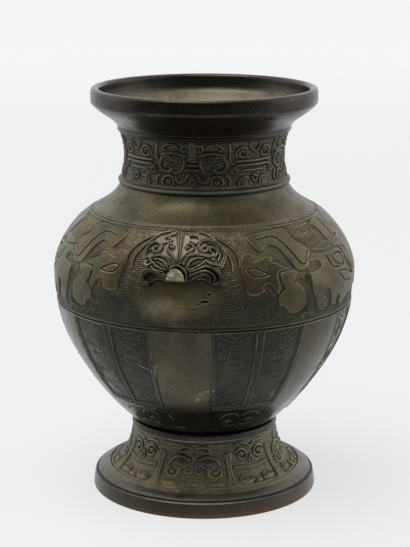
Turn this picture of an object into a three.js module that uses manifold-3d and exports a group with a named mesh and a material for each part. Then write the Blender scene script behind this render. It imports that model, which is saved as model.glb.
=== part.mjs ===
// Bronze hu: an archaistic ritual vase, cast in sections that seat one in another at its mouldings.
// Millimetres, +Z up, origin on the ground under the centre of the foot. The front mask faces -Y.
import * as THREE from "three";
import Module from "manifold-3d";
import { mergeVertices } from "three/addons/utils/BufferGeometryUtils.js";

const wasm = await Module();
wasm.setup();

// Heights of the castings, from the ground up
const plinthHeight = 17.4;
const footHeight = 35.2;
const bowlHeight = 92.6;
const shoulderHeight = 86.3;
const neckHeight = 37.5;
const mouthHeight = 31.0;

// Outside radii
const plinthRadius = 83.7;
const plinthArrisRadius = 82.4;
const flareRadius = 71.2;
const footCollarRadius = 54.3;
const bowlFootRadius = 56.4;
const bellySeamRadius = 108.9;
const bellyRadius = 111.0;
const friezeTopRadius = 83.2;
const shoulderTopRadius = 62.1;
const neckRingRadius = 62.9;
const neckWaistRadius = 58.5;
const neckTopRadius = 62.3;
const beadRadius = 63.5;
const rimRadius = 82.4;

// Mouldings and walls
const wall = 3.6;
const rimWall = 6.2;
const rimBandHeight = 10.9;
const lipRound = 2.6;
const beadHeight = 2.6;
const neckRingHeight = 2.8;
const footCollarHeight = 5.4;
const plinthBandHeight = 11.4;
const plinthWall = 4.2;
const bellyRise = 22.8;
const friezeRise = 66.5;
const bellyFillet = 2.2;
const reliefRise = 0.9;
const panelDepth = 0.6;
const panelRise = 30.0;
const panelMargin = 2.4;
const edge = 0.6;
const stepWidth = 3.0;
const stepHeight = 1.5;
const ringGroove = 1.6;
const neckGroove = 2.0;
const footGroove = 2.0;
const footGrooveHeight = 3.6;

// Spigots, sockets and the floor plate
const clearance = 0.3;
const spigotWall = 2.2;
const tailWall = 3.2;
const neckSpigotHeight = 7.0;
const shoulderSpigotHeight = 6.5;
const bowlSpigotHeight = 8.0;
const bowlTailHeight = 4.6;
const floorThickness = 3.4;
const floorRadius = 50.5;
const registerRise = 1.0;
const ledgeWidth = 5.0;
const ledgeThickness = 2.0;
const boreStep = 0.9;
const bellyStep = 2.6;
const neckStep = 2.6;
const flangeThickness = 4.0;
const flangeWidth = 7.0;

// Handle masks, measured along the wall from the root of the lost loop
const maskRise = 37.2;
const maskHalfWidth = 28.7;
const maskPlate = 2.6;
const loopWidth = 11.8;
const loopDepth = 6.6;
const stubLength = 10.5;
const loopDrop = 2.2;
const collarWidth = 1.3;
const collarHeight = 5.6;
const collarWrap = 14;
const collarSteps = 6;
const leastCrest = 0.5;
const rivetRadius = 2.2;
const rivetSpread = 12.0;
const rivetHeight = 13.0;
const rivetHeadRadius = 4.2;
const rivetHeadHeight = 2.4;
const rivetBite = 1.6;

const facets = 32;
const barSides = 8;
const lipSteps = 4;

// Directions of the meridians at their ends, in degrees from the outward radius
const footTopSlope = 276;
const footEndSlope = 342;
const bowlFootSlope = 43;
const bowlTopSlope = 81;
const bellySlope = 90;
const friezeTopSlope = 152;
const shoulderTopSlope = 115;
const neckFootSlope = 110;
const neckTopSlope = 70;
const mouthFootSlope = 58;
const mouthEndSlope = 51;

// Decorated panels of the bowl: half their width in degrees, and how much of it is left at the foot
const panelCount = 6;
const panelHalf = 17.6;
const panelNarrowing = 0.92;

// Levels that follow from the heights
const footSeat = plinthHeight + footHeight;
const bellySeam = footSeat + bowlHeight;
const neckSeat = bellySeam + shoulderHeight;
const mouthSeat = neckSeat + neckHeight;
const top = mouthSeat + mouthHeight;
const bellyLevel = bellySeam + bellyRise;
const friezeTop = bellySeam + friezeRise;

// The wall behind the ground of the frieze, how far the mask's strands sink before they are fitted
// to it, and how far the cutting shapes reach past what they cut
const groundWall = wall - reliefRise;
const maskSink = 1.0;
const cutReach = 20.0;
const faceTolerance = 0.08;
const pathEnd = 0.001;

const bronze = { color: 0x4a4436, roughness: 0.5, metalness: 0.75 };
const paleBronze = { color: 0x6a5f47, roughness: 0.55, metalness: 0.7 };
const darkBronze = { color: 0x2a261e, roughness: 0.45, metalness: 0.75 };

const vase = new THREE.Group();

const point = (r, z) => new THREE.Vector2(r, z);

// A meridian between two points, leaving and arriving at the given angles from the outward radius.
// Fullness says how long each end holds its direction, as a part of the chord.
function sweep(from, leave, to, arrive, steps, fullness = [0.33, 0.33]) {
  const chord = from.distanceTo(to);
  const along = (degrees, part) => {
    const angle = THREE.MathUtils.degToRad(degrees);
    return point(Math.cos(angle), Math.sin(angle)).multiplyScalar(part * chord);
  };
  const a = from.clone().add(along(leave, fullness[0]));
  const b = to.clone().sub(along(arrive, fullness[1]));
  return new THREE.CubicBezierCurve(from, a, b, to).getPoints(steps);
}

// The same meridian moved square to itself: positive is outwards, on a line that climbs.
function offset(line, distance) {
  return line.map((p, i) => {
    const before = line[Math.max(i - 1, 0)];
    const after = line[Math.min(i + 1, line.length - 1)];
    const way = after.clone().sub(before).normalize();
    return point(p.x + way.y * distance, p.y - way.x * distance);
  });
}

// The point where a climbing line passes a level.
function levelOn(line, level) {
  const above = line.findIndex((p, i) => i > 0 && p.y >= level);
  const [a, b] = above < 0 ? line.slice(-2) : [line[above - 1], line[above]];
  return a.clone().lerp(b, (level - a.y) / (b.y - a.y));
}

// Turns a closed outline, given anticlockwise with +Z up and +R to the right, about the Z axis.
function turn(outline) {
  const kept = outline.filter((p, i) => i === 0 || p.distanceTo(outline[i - 1]) > 1e-4);
  if (kept[0].x > 1e-6) kept.push(kept[0].clone());
  const geometry = new THREE.LatheGeometry(kept, facets);
  return geometry.rotateX(Math.PI / 2);
}

function solid(geometry) {
  const bare = geometry.index ? geometry.clone() : geometry;
  bare.deleteAttribute("normal");
  bare.deleteAttribute("uv");
  const merged = mergeVertices(bare, 1e-5);
  const full = new wasm.Mesh({
    numProp: 3,
    vertProperties: Float32Array.from(merged.attributes.position.array),
    triVerts: Uint32Array.from(merged.index.array),
  });
  return new wasm.Manifold(full);
}

function shape(manifold) {
  const mesh = manifold.simplify(faceTolerance).getMesh();
  const geometry = new THREE.BufferGeometry();
  geometry.setAttribute("position", new THREE.BufferAttribute(mesh.vertProperties, 3));
  geometry.setIndex(new THREE.BufferAttribute(mesh.triVerts, 1));
  geometry.computeVertexNormals();
  return geometry;
}

function add(name, geometry, finish) {
  const mesh = new THREE.Mesh(geometry, new THREE.MeshStandardMaterial(finish));
  mesh.name = name;
  vase.add(mesh);
  return mesh;
}

// The main meridians. All of them climb.
const footFlare = sweep(
  point(footCollarRadius - edge, footSeat - footCollarHeight), footTopSlope,
  point(flareRadius, plinthHeight), footEndSlope, 5, [0.34, 0.41],
).reverse();
const bowlSide = sweep(
  point(bowlFootRadius, footSeat + footGrooveHeight), bowlFootSlope,
  point(bellySeamRadius, bellySeam - clearance / 2), bowlTopSlope, 5,
);
const bellyLow = sweep(
  point(bellySeamRadius, bellySeam + clearance / 2), bowlTopSlope,
  point(bellyRadius, bellyLevel), bellySlope, 2,
);
const bellyHigh = sweep(
  point(bellyRadius, bellyLevel), bellySlope,
  point(friezeTopRadius, friezeTop), friezeTopSlope, 4, [0.26, 0.31],
);
const cavetto = sweep(
  point(friezeTopRadius, friezeTop), friezeTopSlope,
  point(shoulderTopRadius, neckSeat - neckGroove), shoulderTopSlope, 3,
);
const friezeSide = [
  levelOn(bellyLow, bellySeam + bellyFillet), ...bellyLow.slice(1), ...bellyHigh.slice(1),
];
const ground = offset(friezeSide, -reliefRise);
const neckSide = [
  ...sweep(
    point(neckRingRadius - ringGroove, neckSeat + neckRingHeight + ringGroove / 2), neckFootSlope,
    point(neckWaistRadius, neckSeat + neckHeight / 2), bellySlope, 2,
  ),
  ...sweep(
    point(neckWaistRadius, neckSeat + neckHeight / 2), bellySlope,
    point(neckTopRadius - 1.5 * edge, mouthSeat - 2 * edge), neckTopSlope, 2,
  ).slice(1),
];
const mouthFlare = sweep(
  point(beadRadius - edge, mouthSeat + beadHeight + edge), mouthFootSlope,
  point(rimRadius - 1.5 * edge, top - rimBandHeight - edge), mouthEndSlope, 4,
);

// Bores that the spigots share with their sockets
const neckBore = neckWaistRadius - wall;
const shoulderBore = neckBore - boreStep;
const shoulderSpigot = shoulderBore + spigotWall;
const neckSpigot = neckTopRadius - neckStep;
const bellyRabbet = bellySeamRadius - bellyStep;
const tailBore = floorRadius - tailWall;

// The inner face behind a meridian, in half as many steps, between two levels.
function behind(line, thickness, low, high) {
  const kept = offset(line, -thickness).filter((p, i) => i % 2 === 1);
  return kept.filter((p) => p.y > low && p.y < high);
}

// Plinth: a shallow ring with an upright band, hollow underneath, and a rabbet for the foot's flange.
function plinth() {
  const ledgeLevel = plinthHeight - flangeThickness - clearance;
  const ledgeRadius = flareRadius - flangeWidth;
  return turn([
    point(plinthRadius - plinthWall, 0),
    point(plinthRadius - edge / 2, 0),
    point(plinthRadius, 1.5 * edge),
    point(plinthArrisRadius, plinthBandHeight),
    point(plinthArrisRadius - 1.5 * edge, plinthBandHeight + edge),
    point(flareRadius + stepWidth, plinthHeight - stepHeight),
    point(flareRadius + stepWidth - stepHeight / 2, plinthHeight - edge / 2),
    point(flareRadius + clearance, plinthHeight),
    point(flareRadius + clearance, ledgeLevel),
    point(ledgeRadius, ledgeLevel),
    point(ledgeRadius, ledgeLevel - wall),
    point(plinthRadius - plinthWall, ledgeLevel - wall),
  ]);
}

// Foot: a hollow trumpet. Its flange lies in the plinth, and its collar holds the floor and the bowl.
function foot() {
  const flangeBottom = plinthHeight - flangeThickness;
  const socket = floorRadius + clearance;
  const ledge = footSeat - bowlSpigotHeight - floorThickness + clearance;
  return turn([
    point(flareRadius - flangeWidth + 2 * edge, flangeBottom),
    point(flareRadius, flangeBottom),
    ...footFlare,
    point(footCollarRadius, footSeat - footCollarHeight + edge),
    point(footCollarRadius, footSeat - edge),
    point(footCollarRadius - edge, footSeat),
    point(socket, footSeat),
    point(socket, ledge),
    point(floorRadius - ledgeWidth, ledge),
    point(floorRadius - ledgeWidth, ledge - ledgeThickness),
    ...behind(footFlare, wall, flangeBottom, ledge - ledgeThickness).reverse(),
  ]);
}

// Floor: a disc let into the foot's collar before the bowl goes on, so both hold it. A low register
// on its top centres the bowl's tail.
function floorPlate() {
  const bottom = footSeat - bowlSpigotHeight - floorThickness + 2 * clearance;
  const rise = floorThickness - 2 * clearance;
  const register = tailBore - clearance;
  return turn([
    point(0, bottom),
    point(floorRadius, bottom),
    point(floorRadius, bottom + rise),
    point(register, bottom + rise),
    point(register, bottom + rise + registerRise),
    point(0, bottom + rise + registerRise),
  ]);
}

// Bowl: the lower body, with a tail that drops into the foot and a spigot that rises in the shoulder.
function bowl() {
  const spigotTop = bellySeam + bowlSpigotHeight;
  const spigotRadius = bellyRabbet - clearance;
  const grooveRadius = footCollarRadius - footGroove;
  return turn([
    point(tailBore, footSeat - bowlSpigotHeight + clearance),
    point(floorRadius, footSeat - bowlSpigotHeight + clearance),
    point(floorRadius, footSeat + clearance),
    point(grooveRadius, footSeat + clearance),
    point(grooveRadius, footSeat + footGrooveHeight / 2),
    point(bowlFootRadius - edge, footSeat + footGrooveHeight - edge),
    ...bowlSide,
    point(spigotRadius, bellySeam - clearance / 2),
    point(spigotRadius, spigotTop),
    point(spigotRadius - spigotWall, spigotTop),
    point(spigotRadius - spigotWall, bellySeam - wall),
    ...behind(bowlSide, wall, footSeat + 2 * bowlTailHeight, bellySeam - 2 * wall).reverse(),
    point(tailBore, footSeat + bowlTailHeight),
  ]);
}

// Shoulder: from the belly fillet to the root of the neck, with a spigot inside the neck. Its frieze
// is turned down to the ground that the cast figures stand on.
const bellySocketTop = bellySeam + bowlSpigotHeight + clearance;
const shoulderInside = behind(
  [...friezeSide, ...cavetto.slice(1)], wall, bellySocketTop + edge, neckSeat - 2 * wall,
);

function shoulder() {
  return turn([
    point(bellyRabbet, bellySeam + clearance / 2),
    bellyLow[0],
    friezeSide[0],
    ...ground,
    ...cavetto,
    point(shoulderTopRadius - edge, neckSeat - neckGroove / 2),
    point(shoulderTopRadius, neckSeat),
    point(shoulderSpigot, neckSeat),
    point(shoulderSpigot, neckSeat + shoulderSpigotHeight),
    point(shoulderBore, neckSeat + shoulderSpigotHeight),
    point(shoulderBore, neckSeat - wall),
    ...shoulderInside.slice().reverse(),
    point(bellyRabbet, bellySocketTop),
  ]);
}

// Neck: a waisted collar with a ring at its foot and a spigot for the mouth.
function neck() {
  const base = neckSeat + clearance;
  const socket = shoulderSpigot + clearance;
  const socketTop = neckSeat + shoulderSpigotHeight + clearance;
  return turn([
    point(socket, base),
    point(neckRingRadius - edge, base),
    point(neckRingRadius, base + edge),
    point(neckRingRadius, neckSeat + neckRingHeight - edge),
    point(neckRingRadius - edge, neckSeat + neckRingHeight),
    ...neckSide,
    point(neckTopRadius, mouthSeat - 1.5 * edge),
    point(neckTopRadius, mouthSeat),
    point(neckSpigot, mouthSeat),
    point(neckSpigot, mouthSeat + neckSpigotHeight),
    point(neckSpigot - spigotWall, mouthSeat + neckSpigotHeight),
    point(neckBore, (neckSeat + mouthSeat) / 2),
    point(neckBore, socketTop),
    point(socket, socketTop),
  ]);
}

// Mouth: the bead, the flare and the upright rim band with its rounded lip.
function mouth() {
  const base = mouthSeat + clearance;
  const socket = neckSpigot + clearance;
  const socketTop = mouthSeat + neckSpigotHeight + clearance;
  const lip = [];
  for (let i = 0; i <= lipSteps; i += 1) {
    const angle = (Math.PI * i) / lipSteps;
    lip.push(point(
      rimRadius - rimWall / 2 + (Math.cos(angle) * rimWall) / 2,
      top - lipRound + Math.sin(angle) * lipRound,
    ));
  }
  return turn([
    point(socket, base),
    point(beadRadius - edge, base),
    point(beadRadius, mouthSeat + beadHeight / 2),
    point(beadRadius - edge / 2, mouthSeat + beadHeight),
    ...mouthFlare,
    point(rimRadius, top - rimBandHeight + edge),
    ...lip,
    point(rimRadius - rimWall - edge, top - rimBandHeight + 2 * edge),
    ...behind(mouthFlare, wall + 2 * edge, socketTop, top).reverse(),
    point(socket, socketTop),
  ]);
}

// The ground of the frieze, as a place to lay the mask on: s runs sideways along the wall, t climbs
// the meridian from the mask's root, and h stands off square to the wall.
const meridian = new THREE.Path(ground);
const meridianLength = meridian.getLength();
const rootLevel = bellySeam + maskRise;

function partAtLevel(level) {
  let low = 0;
  let high = 1;
  for (let i = 0; i < 40; i += 1) {
    const middle = (low + high) / 2;
    if (meridian.getPointAt(middle).y < level) low = middle;
    else high = middle;
  }
  return low;
}

const rootPart = partAtLevel(rootLevel);

function onWall(s, t, h) {
  const part = THREE.MathUtils.clamp(rootPart + t / meridianLength, pathEnd, 1 - pathEnd);
  const p = meridian.getPointAt(part);
  const way = meridian.getTangentAt(part);
  const angle = s / meridian.getPointAt(rootPart).x;
  const r = p.x + way.y * h;
  return new THREE.Vector3(Math.sin(angle) * r, -Math.cos(angle) * r, p.y - way.x * h);
}

// Places on the frieze and on the bowl, by the degrees round from the front and the level.
function onLine(line, degrees, level, h) {
  const p = levelOn(line, level);
  const above = levelOn(line, level + edge);
  const way = above.sub(p).normalize();
  const angle = THREE.MathUtils.degToRad(degrees);
  const r = p.x + way.y * h;
  return new THREE.Vector3(Math.sin(angle) * r, -Math.cos(angle) * r, p.y - way.x * h);
}

// A strand of the mask: a ridge with a flat back, laid along a curve on the wall.
// Path points are [s, t, height of the crest], and the strand tapers from the first width to the last.
function strandAlong(path, widths, steps, sides = 4) {
  const line = new THREE.CatmullRomCurve3(path.map(([s, t, h]) => new THREE.Vector3(s, t, h)));
  const rings = [];
  for (let i = 0; i <= steps; i += 1) {
    const part = i / steps;
    const p = line.getPointAt(part);
    const way = line.getTangentAt(part);
    const flat = Math.hypot(way.x, way.y);
    const half = THREE.MathUtils.lerp(widths[0], widths[1], part);
    const ring = [];
    for (let k = 0; k < sides; k += 1) {
      const angle = (Math.PI * k) / (sides - 1);
      const side = Math.cos(angle) * half;
      const crest = Math.max(p.z - half + Math.sin(angle) * half, leastCrest);
      const lift = k === 0 || k === sides - 1 ? -maskSink : crest;
      ring.push(onWall(p.x + (way.y / flat) * side, p.y - (way.x / flat) * side, lift));
    }
    rings.push(ring);
  }
  return loft(rings);
}

// Skins a row of closed rings and caps both ends with a fan.
function loft(rings) {
  const positions = rings.flat().flatMap((p) => [p.x, p.y, p.z]);
  const sides = rings[0].length;
  const index = [];
  for (let i = 0; i < rings.length - 1; i += 1) {
    for (let k = 0; k < sides; k += 1) {
      const a = i * sides + k;
      const b = i * sides + ((k + 1) % sides);
      index.push(a, b + sides, b, a, a + sides, b + sides);
    }
  }
  const last = (rings.length - 1) * sides;
  for (let k = 1; k < sides - 1; k += 1) {
    index.push(0, k, k + 1);
    index.push(last, last + k + 1, last + k);
  }
  const geometry = new THREE.BufferGeometry();
  geometry.setAttribute("position", new THREE.Float32BufferAttribute(positions, 3));
  geometry.setIndex(index);
  return geometry;
}

// The mask is drawn on a grid of 30 units from its middle to its side, as [across, up, crest height].
// These are the strands of its right half. Widths are half widths at the root and the tip.
const gridSide = 30;
const unit = maskHalfWidth / gridSide;
const halfMask = [
  // outer volute, up the side and curled inwards
  { path: [[27.7, 8.4, 3.6], [28, 15.7, 4.2], [25.6, 23, 4.2], [20.6, 28, 4.2], [15.4, 28.2, 4.4],
    [13.7, 23.6, 4.8], [16.8, 20.5, 5], [19.5, 23, 5.6]],
    widths: [2.4, 1.8], steps: 8 },
  // brow, from the root out to a curl beside the volute
  { path: [[4, 7.3, 4.8], [6.3, 15.2, 4.4], [11.5, 18.2, 4.2], [17.4, 18, 4.2], [21.5, 18.2, 4.4],
    [22.6, 21.1, 4.6], [20.3, 22.2, 5]],
    widths: [1.5, 1.6], steps: 6 },
  // inner stem, with its curl beside the crest
  { path: [[2.7, 9.9, 4], [4.6, 16.7, 4], [7.9, 21.1, 4], [8.8, 24.7, 4.2], [5.9, 26.1, 4.4],
    [5, 23.6, 4.8]],
    widths: [1.3, 1.4], steps: 6 },
  // small hook of the crest
  { path: [[10, 25.7, 3.3], [12.5, 29.5, 3.6], [9, 32, 3.6], [5.6, 31.6, 3.1]],
    widths: [1.3, 1.3], steps: 4 },
  // lower lid of the eye leaf
  { path: [[5.2, 3.8, 4], [11.1, 7.5, 3.6], [16.7, 12.3, 3.6], [21.1, 13.2, 3.6]],
    widths: [1.4, 1.6], steps: 3 },
  // lip, rolled down and under at its end
  { path: [[5.4, 0.8, 5.4], [10.5, 4.4, 6.3], [17.4, 5.9, 6.9], [23.4, 3.8, 6.9], [25.3, -1.3, 6.9],
    [22, -4.4, 7.3], [19.4, -1.7, 7.3]],
    widths: [2.6, 2.8], steps: 6 },
];
const palmette = [
  [6.3, -2.7], [15.7, -1], [24.8, -3.1], [27.7, 2.1], [29, 9.4], [29.4, 17.8], [25.8, 26.1],
  [19, 30.1], [12.2, 32], [5.4, 33],
];
// The tapered rib between the two halves, widening to the crest
const midrib = [[1.6, 4.2], [1.9, 14.6], [3.1, 25.1], [2.3, 33.9], [0, 36]];
const midribHeight = 3.6;

// Drawn points in millimetres, and a right half with its left half mirrored behind it
const toSize = (points) => points.map((p) => p.map((value) => value * unit));
const mirrored = (points) => points.map(([s, ...rest]) => [-s, ...rest]).reverse();

// A prism over an outline drawn on a wall, between two heights. Place turns a drawn point and a
// height into a place in space.
function prism(place, drawn, low, high) {
  const flat = drawn.map(([a, b]) => point(a, b));
  const outline = THREE.ShapeUtils.isClockWise(flat) ? flat.reverse() : flat;
  const ringAt = (h) => outline.map((p) => place(p.x, p.y, h));
  const faces = THREE.ShapeUtils.triangulateShape(outline, []);
  const rings = [ringAt(low), ringAt(high)];
  const count = outline.length;
  const index = [];
  for (const [a, b, c] of faces) {
    index.push(a, c, b);
    index.push(a + count, b + count, c + count);
  }
  for (let k = 0; k < count; k += 1) {
    const next = (k + 1) % count;
    index.push(k, next, next + count, k, next + count, k + count);
  }
  const geometry = new THREE.BufferGeometry();
  const positions = rings.flat().flatMap((p) => [p.x, p.y, p.z]);
  geometry.setAttribute("position", new THREE.Float32BufferAttribute(positions, 3));
  geometry.setIndex(index);
  return geometry;
}

// All that lies within a line on a turned wall, for fitting and cutting against that wall.
function within(line) {
  const first = line[0];
  const last = line[line.length - 1];
  return solid(turn([
    point(0, first.y - cutReach), point(first.x, first.y - cutReach), ...line,
    point(last.x, last.y + cutReach), point(0, last.y + cutReach),
  ]));
}

const core = (distance) => within(offset(ground, distance));

// The loop handle broke off at its root and left a stub with a half-round section.
function loopStub() {
  const outline = [];
  for (let i = 0; i <= barSides; i += 1) {
    const angle = (Math.PI * i) / barSides;
    outline.push([(Math.cos(angle) * loopWidth) / 2, Math.sin(angle) * loopDepth - loopDrop]);
  }
  return prism(onWall, outline, -maskSink, stubLength);
}

// A half-round collar frames the stub and wraps a little past its sides.
function collar() {
  const path = [];
  for (let i = 0; i <= collarSteps; i += 1) {
    const turned = (i / collarSteps) * (180 + 2 * collarWrap) - collarWrap;
    const angle = THREE.MathUtils.degToRad(turned);
    path.push([
      Math.cos(angle) * (loopWidth / 2 + collarWidth),
      Math.sin(angle) * (loopDepth + collarWidth) - loopDrop,
      collarHeight,
    ]);
  }
  return strandAlong(path, [collarWidth, collarWidth], collarSteps);
}

function stem() {
  const outline = [...midrib, ...mirrored(midrib.slice(0, -1))];
  return prism(onWall, toSize(outline), -maskSink, midribHeight * unit);
}

const rivetPlaces = [-rivetSpread, rivetSpread];

// A round bar along the wall's own normal at a rivet's place, between two heights.
function barThroughWall(s, radius, low, high) {
  const foot = onWall(s, rivetHeight, low);
  const head = onWall(s, rivetHeight, high);
  const bar = new THREE.CylinderGeometry(radius, radius, foot.distanceTo(head), barSides);
  bar.rotateX(Math.PI / 2);
  const stand = new THREE.Object3D();
  stand.position.lerpVectors(foot, head, 0.5);
  stand.lookAt(head);
  stand.updateMatrix();
  return bar.applyMatrix4(stand.matrix);
}

function mask() {
  const outline = toSize([...palmette, ...mirrored(palmette)]);
  const plate = solid(prism(onWall, outline, -cutReach / 2, cutReach / 2)).intersect(core(maskPlate));
  let whole = plate;
  for (const { path, widths, steps } of halfMask) {
    const half = widths.map((width) => width * unit);
    const right = strandAlong(toSize(path), half, steps);
    const left = strandAlong(toSize(mirrored(path)), half.reverse(), steps);
    whole = whole.add(solid(right)).add(solid(left));
  }
  for (const piece of [stem(), collar(), loopStub()]) whole = whole.add(solid(piece));
  for (const s of rivetPlaces) {
    const blind = rivetBite + clearance;
    whole = whole.subtract(solid(barThroughWall(s, rivetRadius + clearance, -maskSink, blind)));
  }
  return whole.subtract(core(clearance));
}

// A rivet: its shank bites into the mask's back and its head is closed down on the wall inside.
function rivet(s) {
  const end = -wall - rivetHeadHeight;
  const shank = solid(barThroughWall(s, rivetRadius, end, rivetBite));
  const head = solid(barThroughWall(s, rivetHeadRadius, end, 0));
  return shank.add(head.intersect(within(offset(shoulderInside, -clearance))));
}

// The beast faces of the frieze, two round the vase. These plates make half a face, from beside the
// mask to halfway round the side, as [degrees from the front, row] on a grid of 66 rows.
const friezeRows = 66;
const beast = {
  horn: [[27, 60], [31, 63.5], [48, 64], [55, 49], [50, 38], [45.5, 39.5], [39.5, 54], [35, 55],
    [31.5, 52.5]],
  face: [[22.5, 41.5], [24.5, 51], [34, 49], [41.5, 40.5], [37, 36], [36.5, 24], [33, 31], [29, 25],
    [24.5, 26]],
  leg: [[38.5, 38], [45, 38], [42.5, 30], [48, 24], [45.5, 9.5], [36.5, 19.5]],
  body: [[51.5, 35], [58, 46], [75, 45], [80.5, 27], [91, 20.5], [91, 13], [71, 6.5], [69, 13],
    [65, 8], [61, 21], [60, 9], [56.5, 7]],
  tail: [[70, 64], [91, 64], [91, 24], [84, 24], [77, 46], [69.5, 50]],
};

function beastPlates() {
  const onFrieze = (degrees, row, h) => (
    onLine(friezeSide, degrees, bellySeam + (row / friezeRows) * friezeRise, h)
  );
  const plates = [];
  for (const drawn of Object.values(beast)) {
    for (const outline of [drawn, mirrored(drawn)]) {
      const plate = solid(prism(onFrieze, outline, -cutReach / 2, cutReach / 2));
      plates.push(plate, plate.rotate(0, 0, 180));
    }
  }
  const standing = wasm.Manifold.union(plates).intersect(core(reliefRise));
  return standing.subtract(core(-groundWall / 2));
}

function shoulderCast() {
  let casting = solid(shoulder()).add(beastPlates());
  for (const turned of [0, Math.PI]) {
    for (const s of rivetPlaces) {
      const bar = barThroughWall(s, rivetRadius + clearance, -2 * groundWall, groundWall);
      casting = casting.subtract(solid(bar.rotateZ(turned)));
    }
  }
  return shape(casting);
}

// The bowl's decorated panels are sunk below the plain ones between them, and narrow to the foot.
function bowlCast() {
  const low = footSeat + panelRise;
  const high = bellySeam - panelMargin;
  const onBowl = (degrees, level, h) => onLine(bowlSide, degrees, level, h);
  const pitch = 360 / panelCount;
  const foot = panelHalf * panelNarrowing;
  const panels = [];
  for (let i = 0; i < panelCount; i += 1) {
    const middle = (i + 0.5) * pitch;
    const outline = [
      [middle - foot, low], [middle + foot, low], [middle + panelHalf, high], [middle - panelHalf, high],
    ];
    panels.push(solid(prism(onBowl, outline, -cutReach, cutReach)));
  }
  const sunk = wasm.Manifold.union(panels).subtract(within(offset(bowlSide, -panelDepth)));
  return shape(solid(bowl()).subtract(sunk));
}

add("plinth_ring", plinth(), darkBronze);
add("foot", foot(), bronze);
add("floor_plate", floorPlate(), darkBronze);
add("lower_bowl", bowlCast(), bronze);
add("shoulder", shoulderCast(), paleBronze);
add("neck_collar", neck(), bronze);
add("mouth_rim", mouth(), darkBronze);

const maskShape = shape(mask());
const rivetShapes = rivetPlaces.map((s) => shape(rivet(s)));
const sides = [["front", 0], ["rear", Math.PI]];
for (const [side, angle] of sides) {
  add(`${side}_mask`, maskShape, bronze).rotation.z = angle;
  rivetShapes.forEach((geometry, i) => {
    add(`${side}_mask_rivet_${i + 1}`, geometry, paleBronze).rotation.z = angle;
  });
}

export default vase;
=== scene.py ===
"""Bronze hu vase: the cast relief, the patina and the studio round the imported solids."""
import math

import bpy
import numpy as np
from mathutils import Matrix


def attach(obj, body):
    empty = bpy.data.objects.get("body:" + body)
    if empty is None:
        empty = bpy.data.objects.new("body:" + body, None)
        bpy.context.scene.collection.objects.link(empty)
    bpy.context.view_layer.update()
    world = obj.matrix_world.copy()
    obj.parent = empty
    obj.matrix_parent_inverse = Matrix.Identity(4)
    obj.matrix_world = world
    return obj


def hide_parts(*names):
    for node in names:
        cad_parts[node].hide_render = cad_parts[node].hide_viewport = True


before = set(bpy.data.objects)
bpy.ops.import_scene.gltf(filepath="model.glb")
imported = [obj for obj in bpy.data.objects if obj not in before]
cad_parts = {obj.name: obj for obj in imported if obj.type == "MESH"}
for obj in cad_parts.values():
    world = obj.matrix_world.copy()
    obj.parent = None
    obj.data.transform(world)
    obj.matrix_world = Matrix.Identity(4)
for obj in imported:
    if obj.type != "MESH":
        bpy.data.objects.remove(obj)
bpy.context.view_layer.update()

# The camera stands 1.3 m away on a long lens, 15 cm above the mouth, and looks down by 13 degrees.
# It is turned to the right of the front mask, which faces -Y.
CAMERA_REACH = 1.2292
CAMERA_HEIGHT = 0.4514
CAMERA_TURN = math.radians(8.9)
LOOK_DOWN = math.radians(13.3)


def new_object(name, data):
    made = bpy.data.objects.new(name, data)
    bpy.context.collection.objects.link(made)
    return made


lens = bpy.data.cameras.new("camera")
lens.sensor_width = 36.0
lens.lens = 112.13
lens.shift_x = 0.0013
camera = new_object("camera", lens)
camera.location = (
    CAMERA_REACH * math.sin(CAMERA_TURN), -CAMERA_REACH * math.cos(CAMERA_TURN), CAMERA_HEIGHT,
)
camera.rotation_euler = (math.pi / 2 - LOOK_DOWN, 0.0, CAMERA_TURN)
bpy.context.scene.camera = camera
bpy.context.scene.view_settings.view_transform = "Standard"


# Studio: a pale paper floor under a pale room, a soft box overhead and one on each side. The room
# is darker on the camera's side, so the front of the bronze stays dark and its limbs pale.
PAPER = (0.86, 0.87, 0.87, 1.0)
PAPER_SHADE = (0.22, 0.22, 0.22, 1.0)
PAPER_HALF = 8.0
ROOM = (0.90, 0.89, 0.92, 1.0)
WHITE = (1.0, 1.0, 1.0, 1.0)
LAMP_AIM = 0.2


def node(tree, kind, inputs=None, **settings):
    """Adds a node. Each input is a value, or a socket of another node to link it to."""
    made = tree.nodes.new(kind)
    for name, value in settings.items():
        setattr(made, name, value)
    for socket, value in (inputs or {}).items():
        if isinstance(value, bpy.types.NodeSocket):
            tree.links.new(value, made.inputs[socket])
        else:
            made.inputs[socket].default_value = value
    return made


def maths(tree, operation, *values, clamp=False):
    made = node(tree, "ShaderNodeMath", dict(enumerate(values)), operation=operation, use_clamp=clamp)
    return made.outputs[0]


def ramp(tree, value, low, high, to_low=0.0, to_high=1.0, kind="LINEAR"):
    """Runs from to_low where the value is low to to_high where it is high, and stays at both beyond."""
    return node(tree, "ShaderNodeMapRange", {
        "Value": value, "From Min": low, "From Max": high, "To Min": to_low, "To Max": to_high,
    }, interpolation_type=kind).outputs[0]


def cleared_tree(owner):
    owner.use_nodes = True
    owner.node_tree.nodes.clear()
    return owner.node_tree


def ray_kinds(tree):
    """Two values: 1 for the rays that come straight or through glass, and 1 for the mirrored ones."""
    path = node(tree, "ShaderNodeLightPath").outputs
    straight = maths(tree, "MAXIMUM", path["Is Camera Ray"], path["Is Transmission Ray"])
    return straight, path["Is Glossy Ray"]


def shader(tree, kind, inputs):
    return node(tree, "ShaderNode" + kind, inputs).outputs[0]


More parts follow.
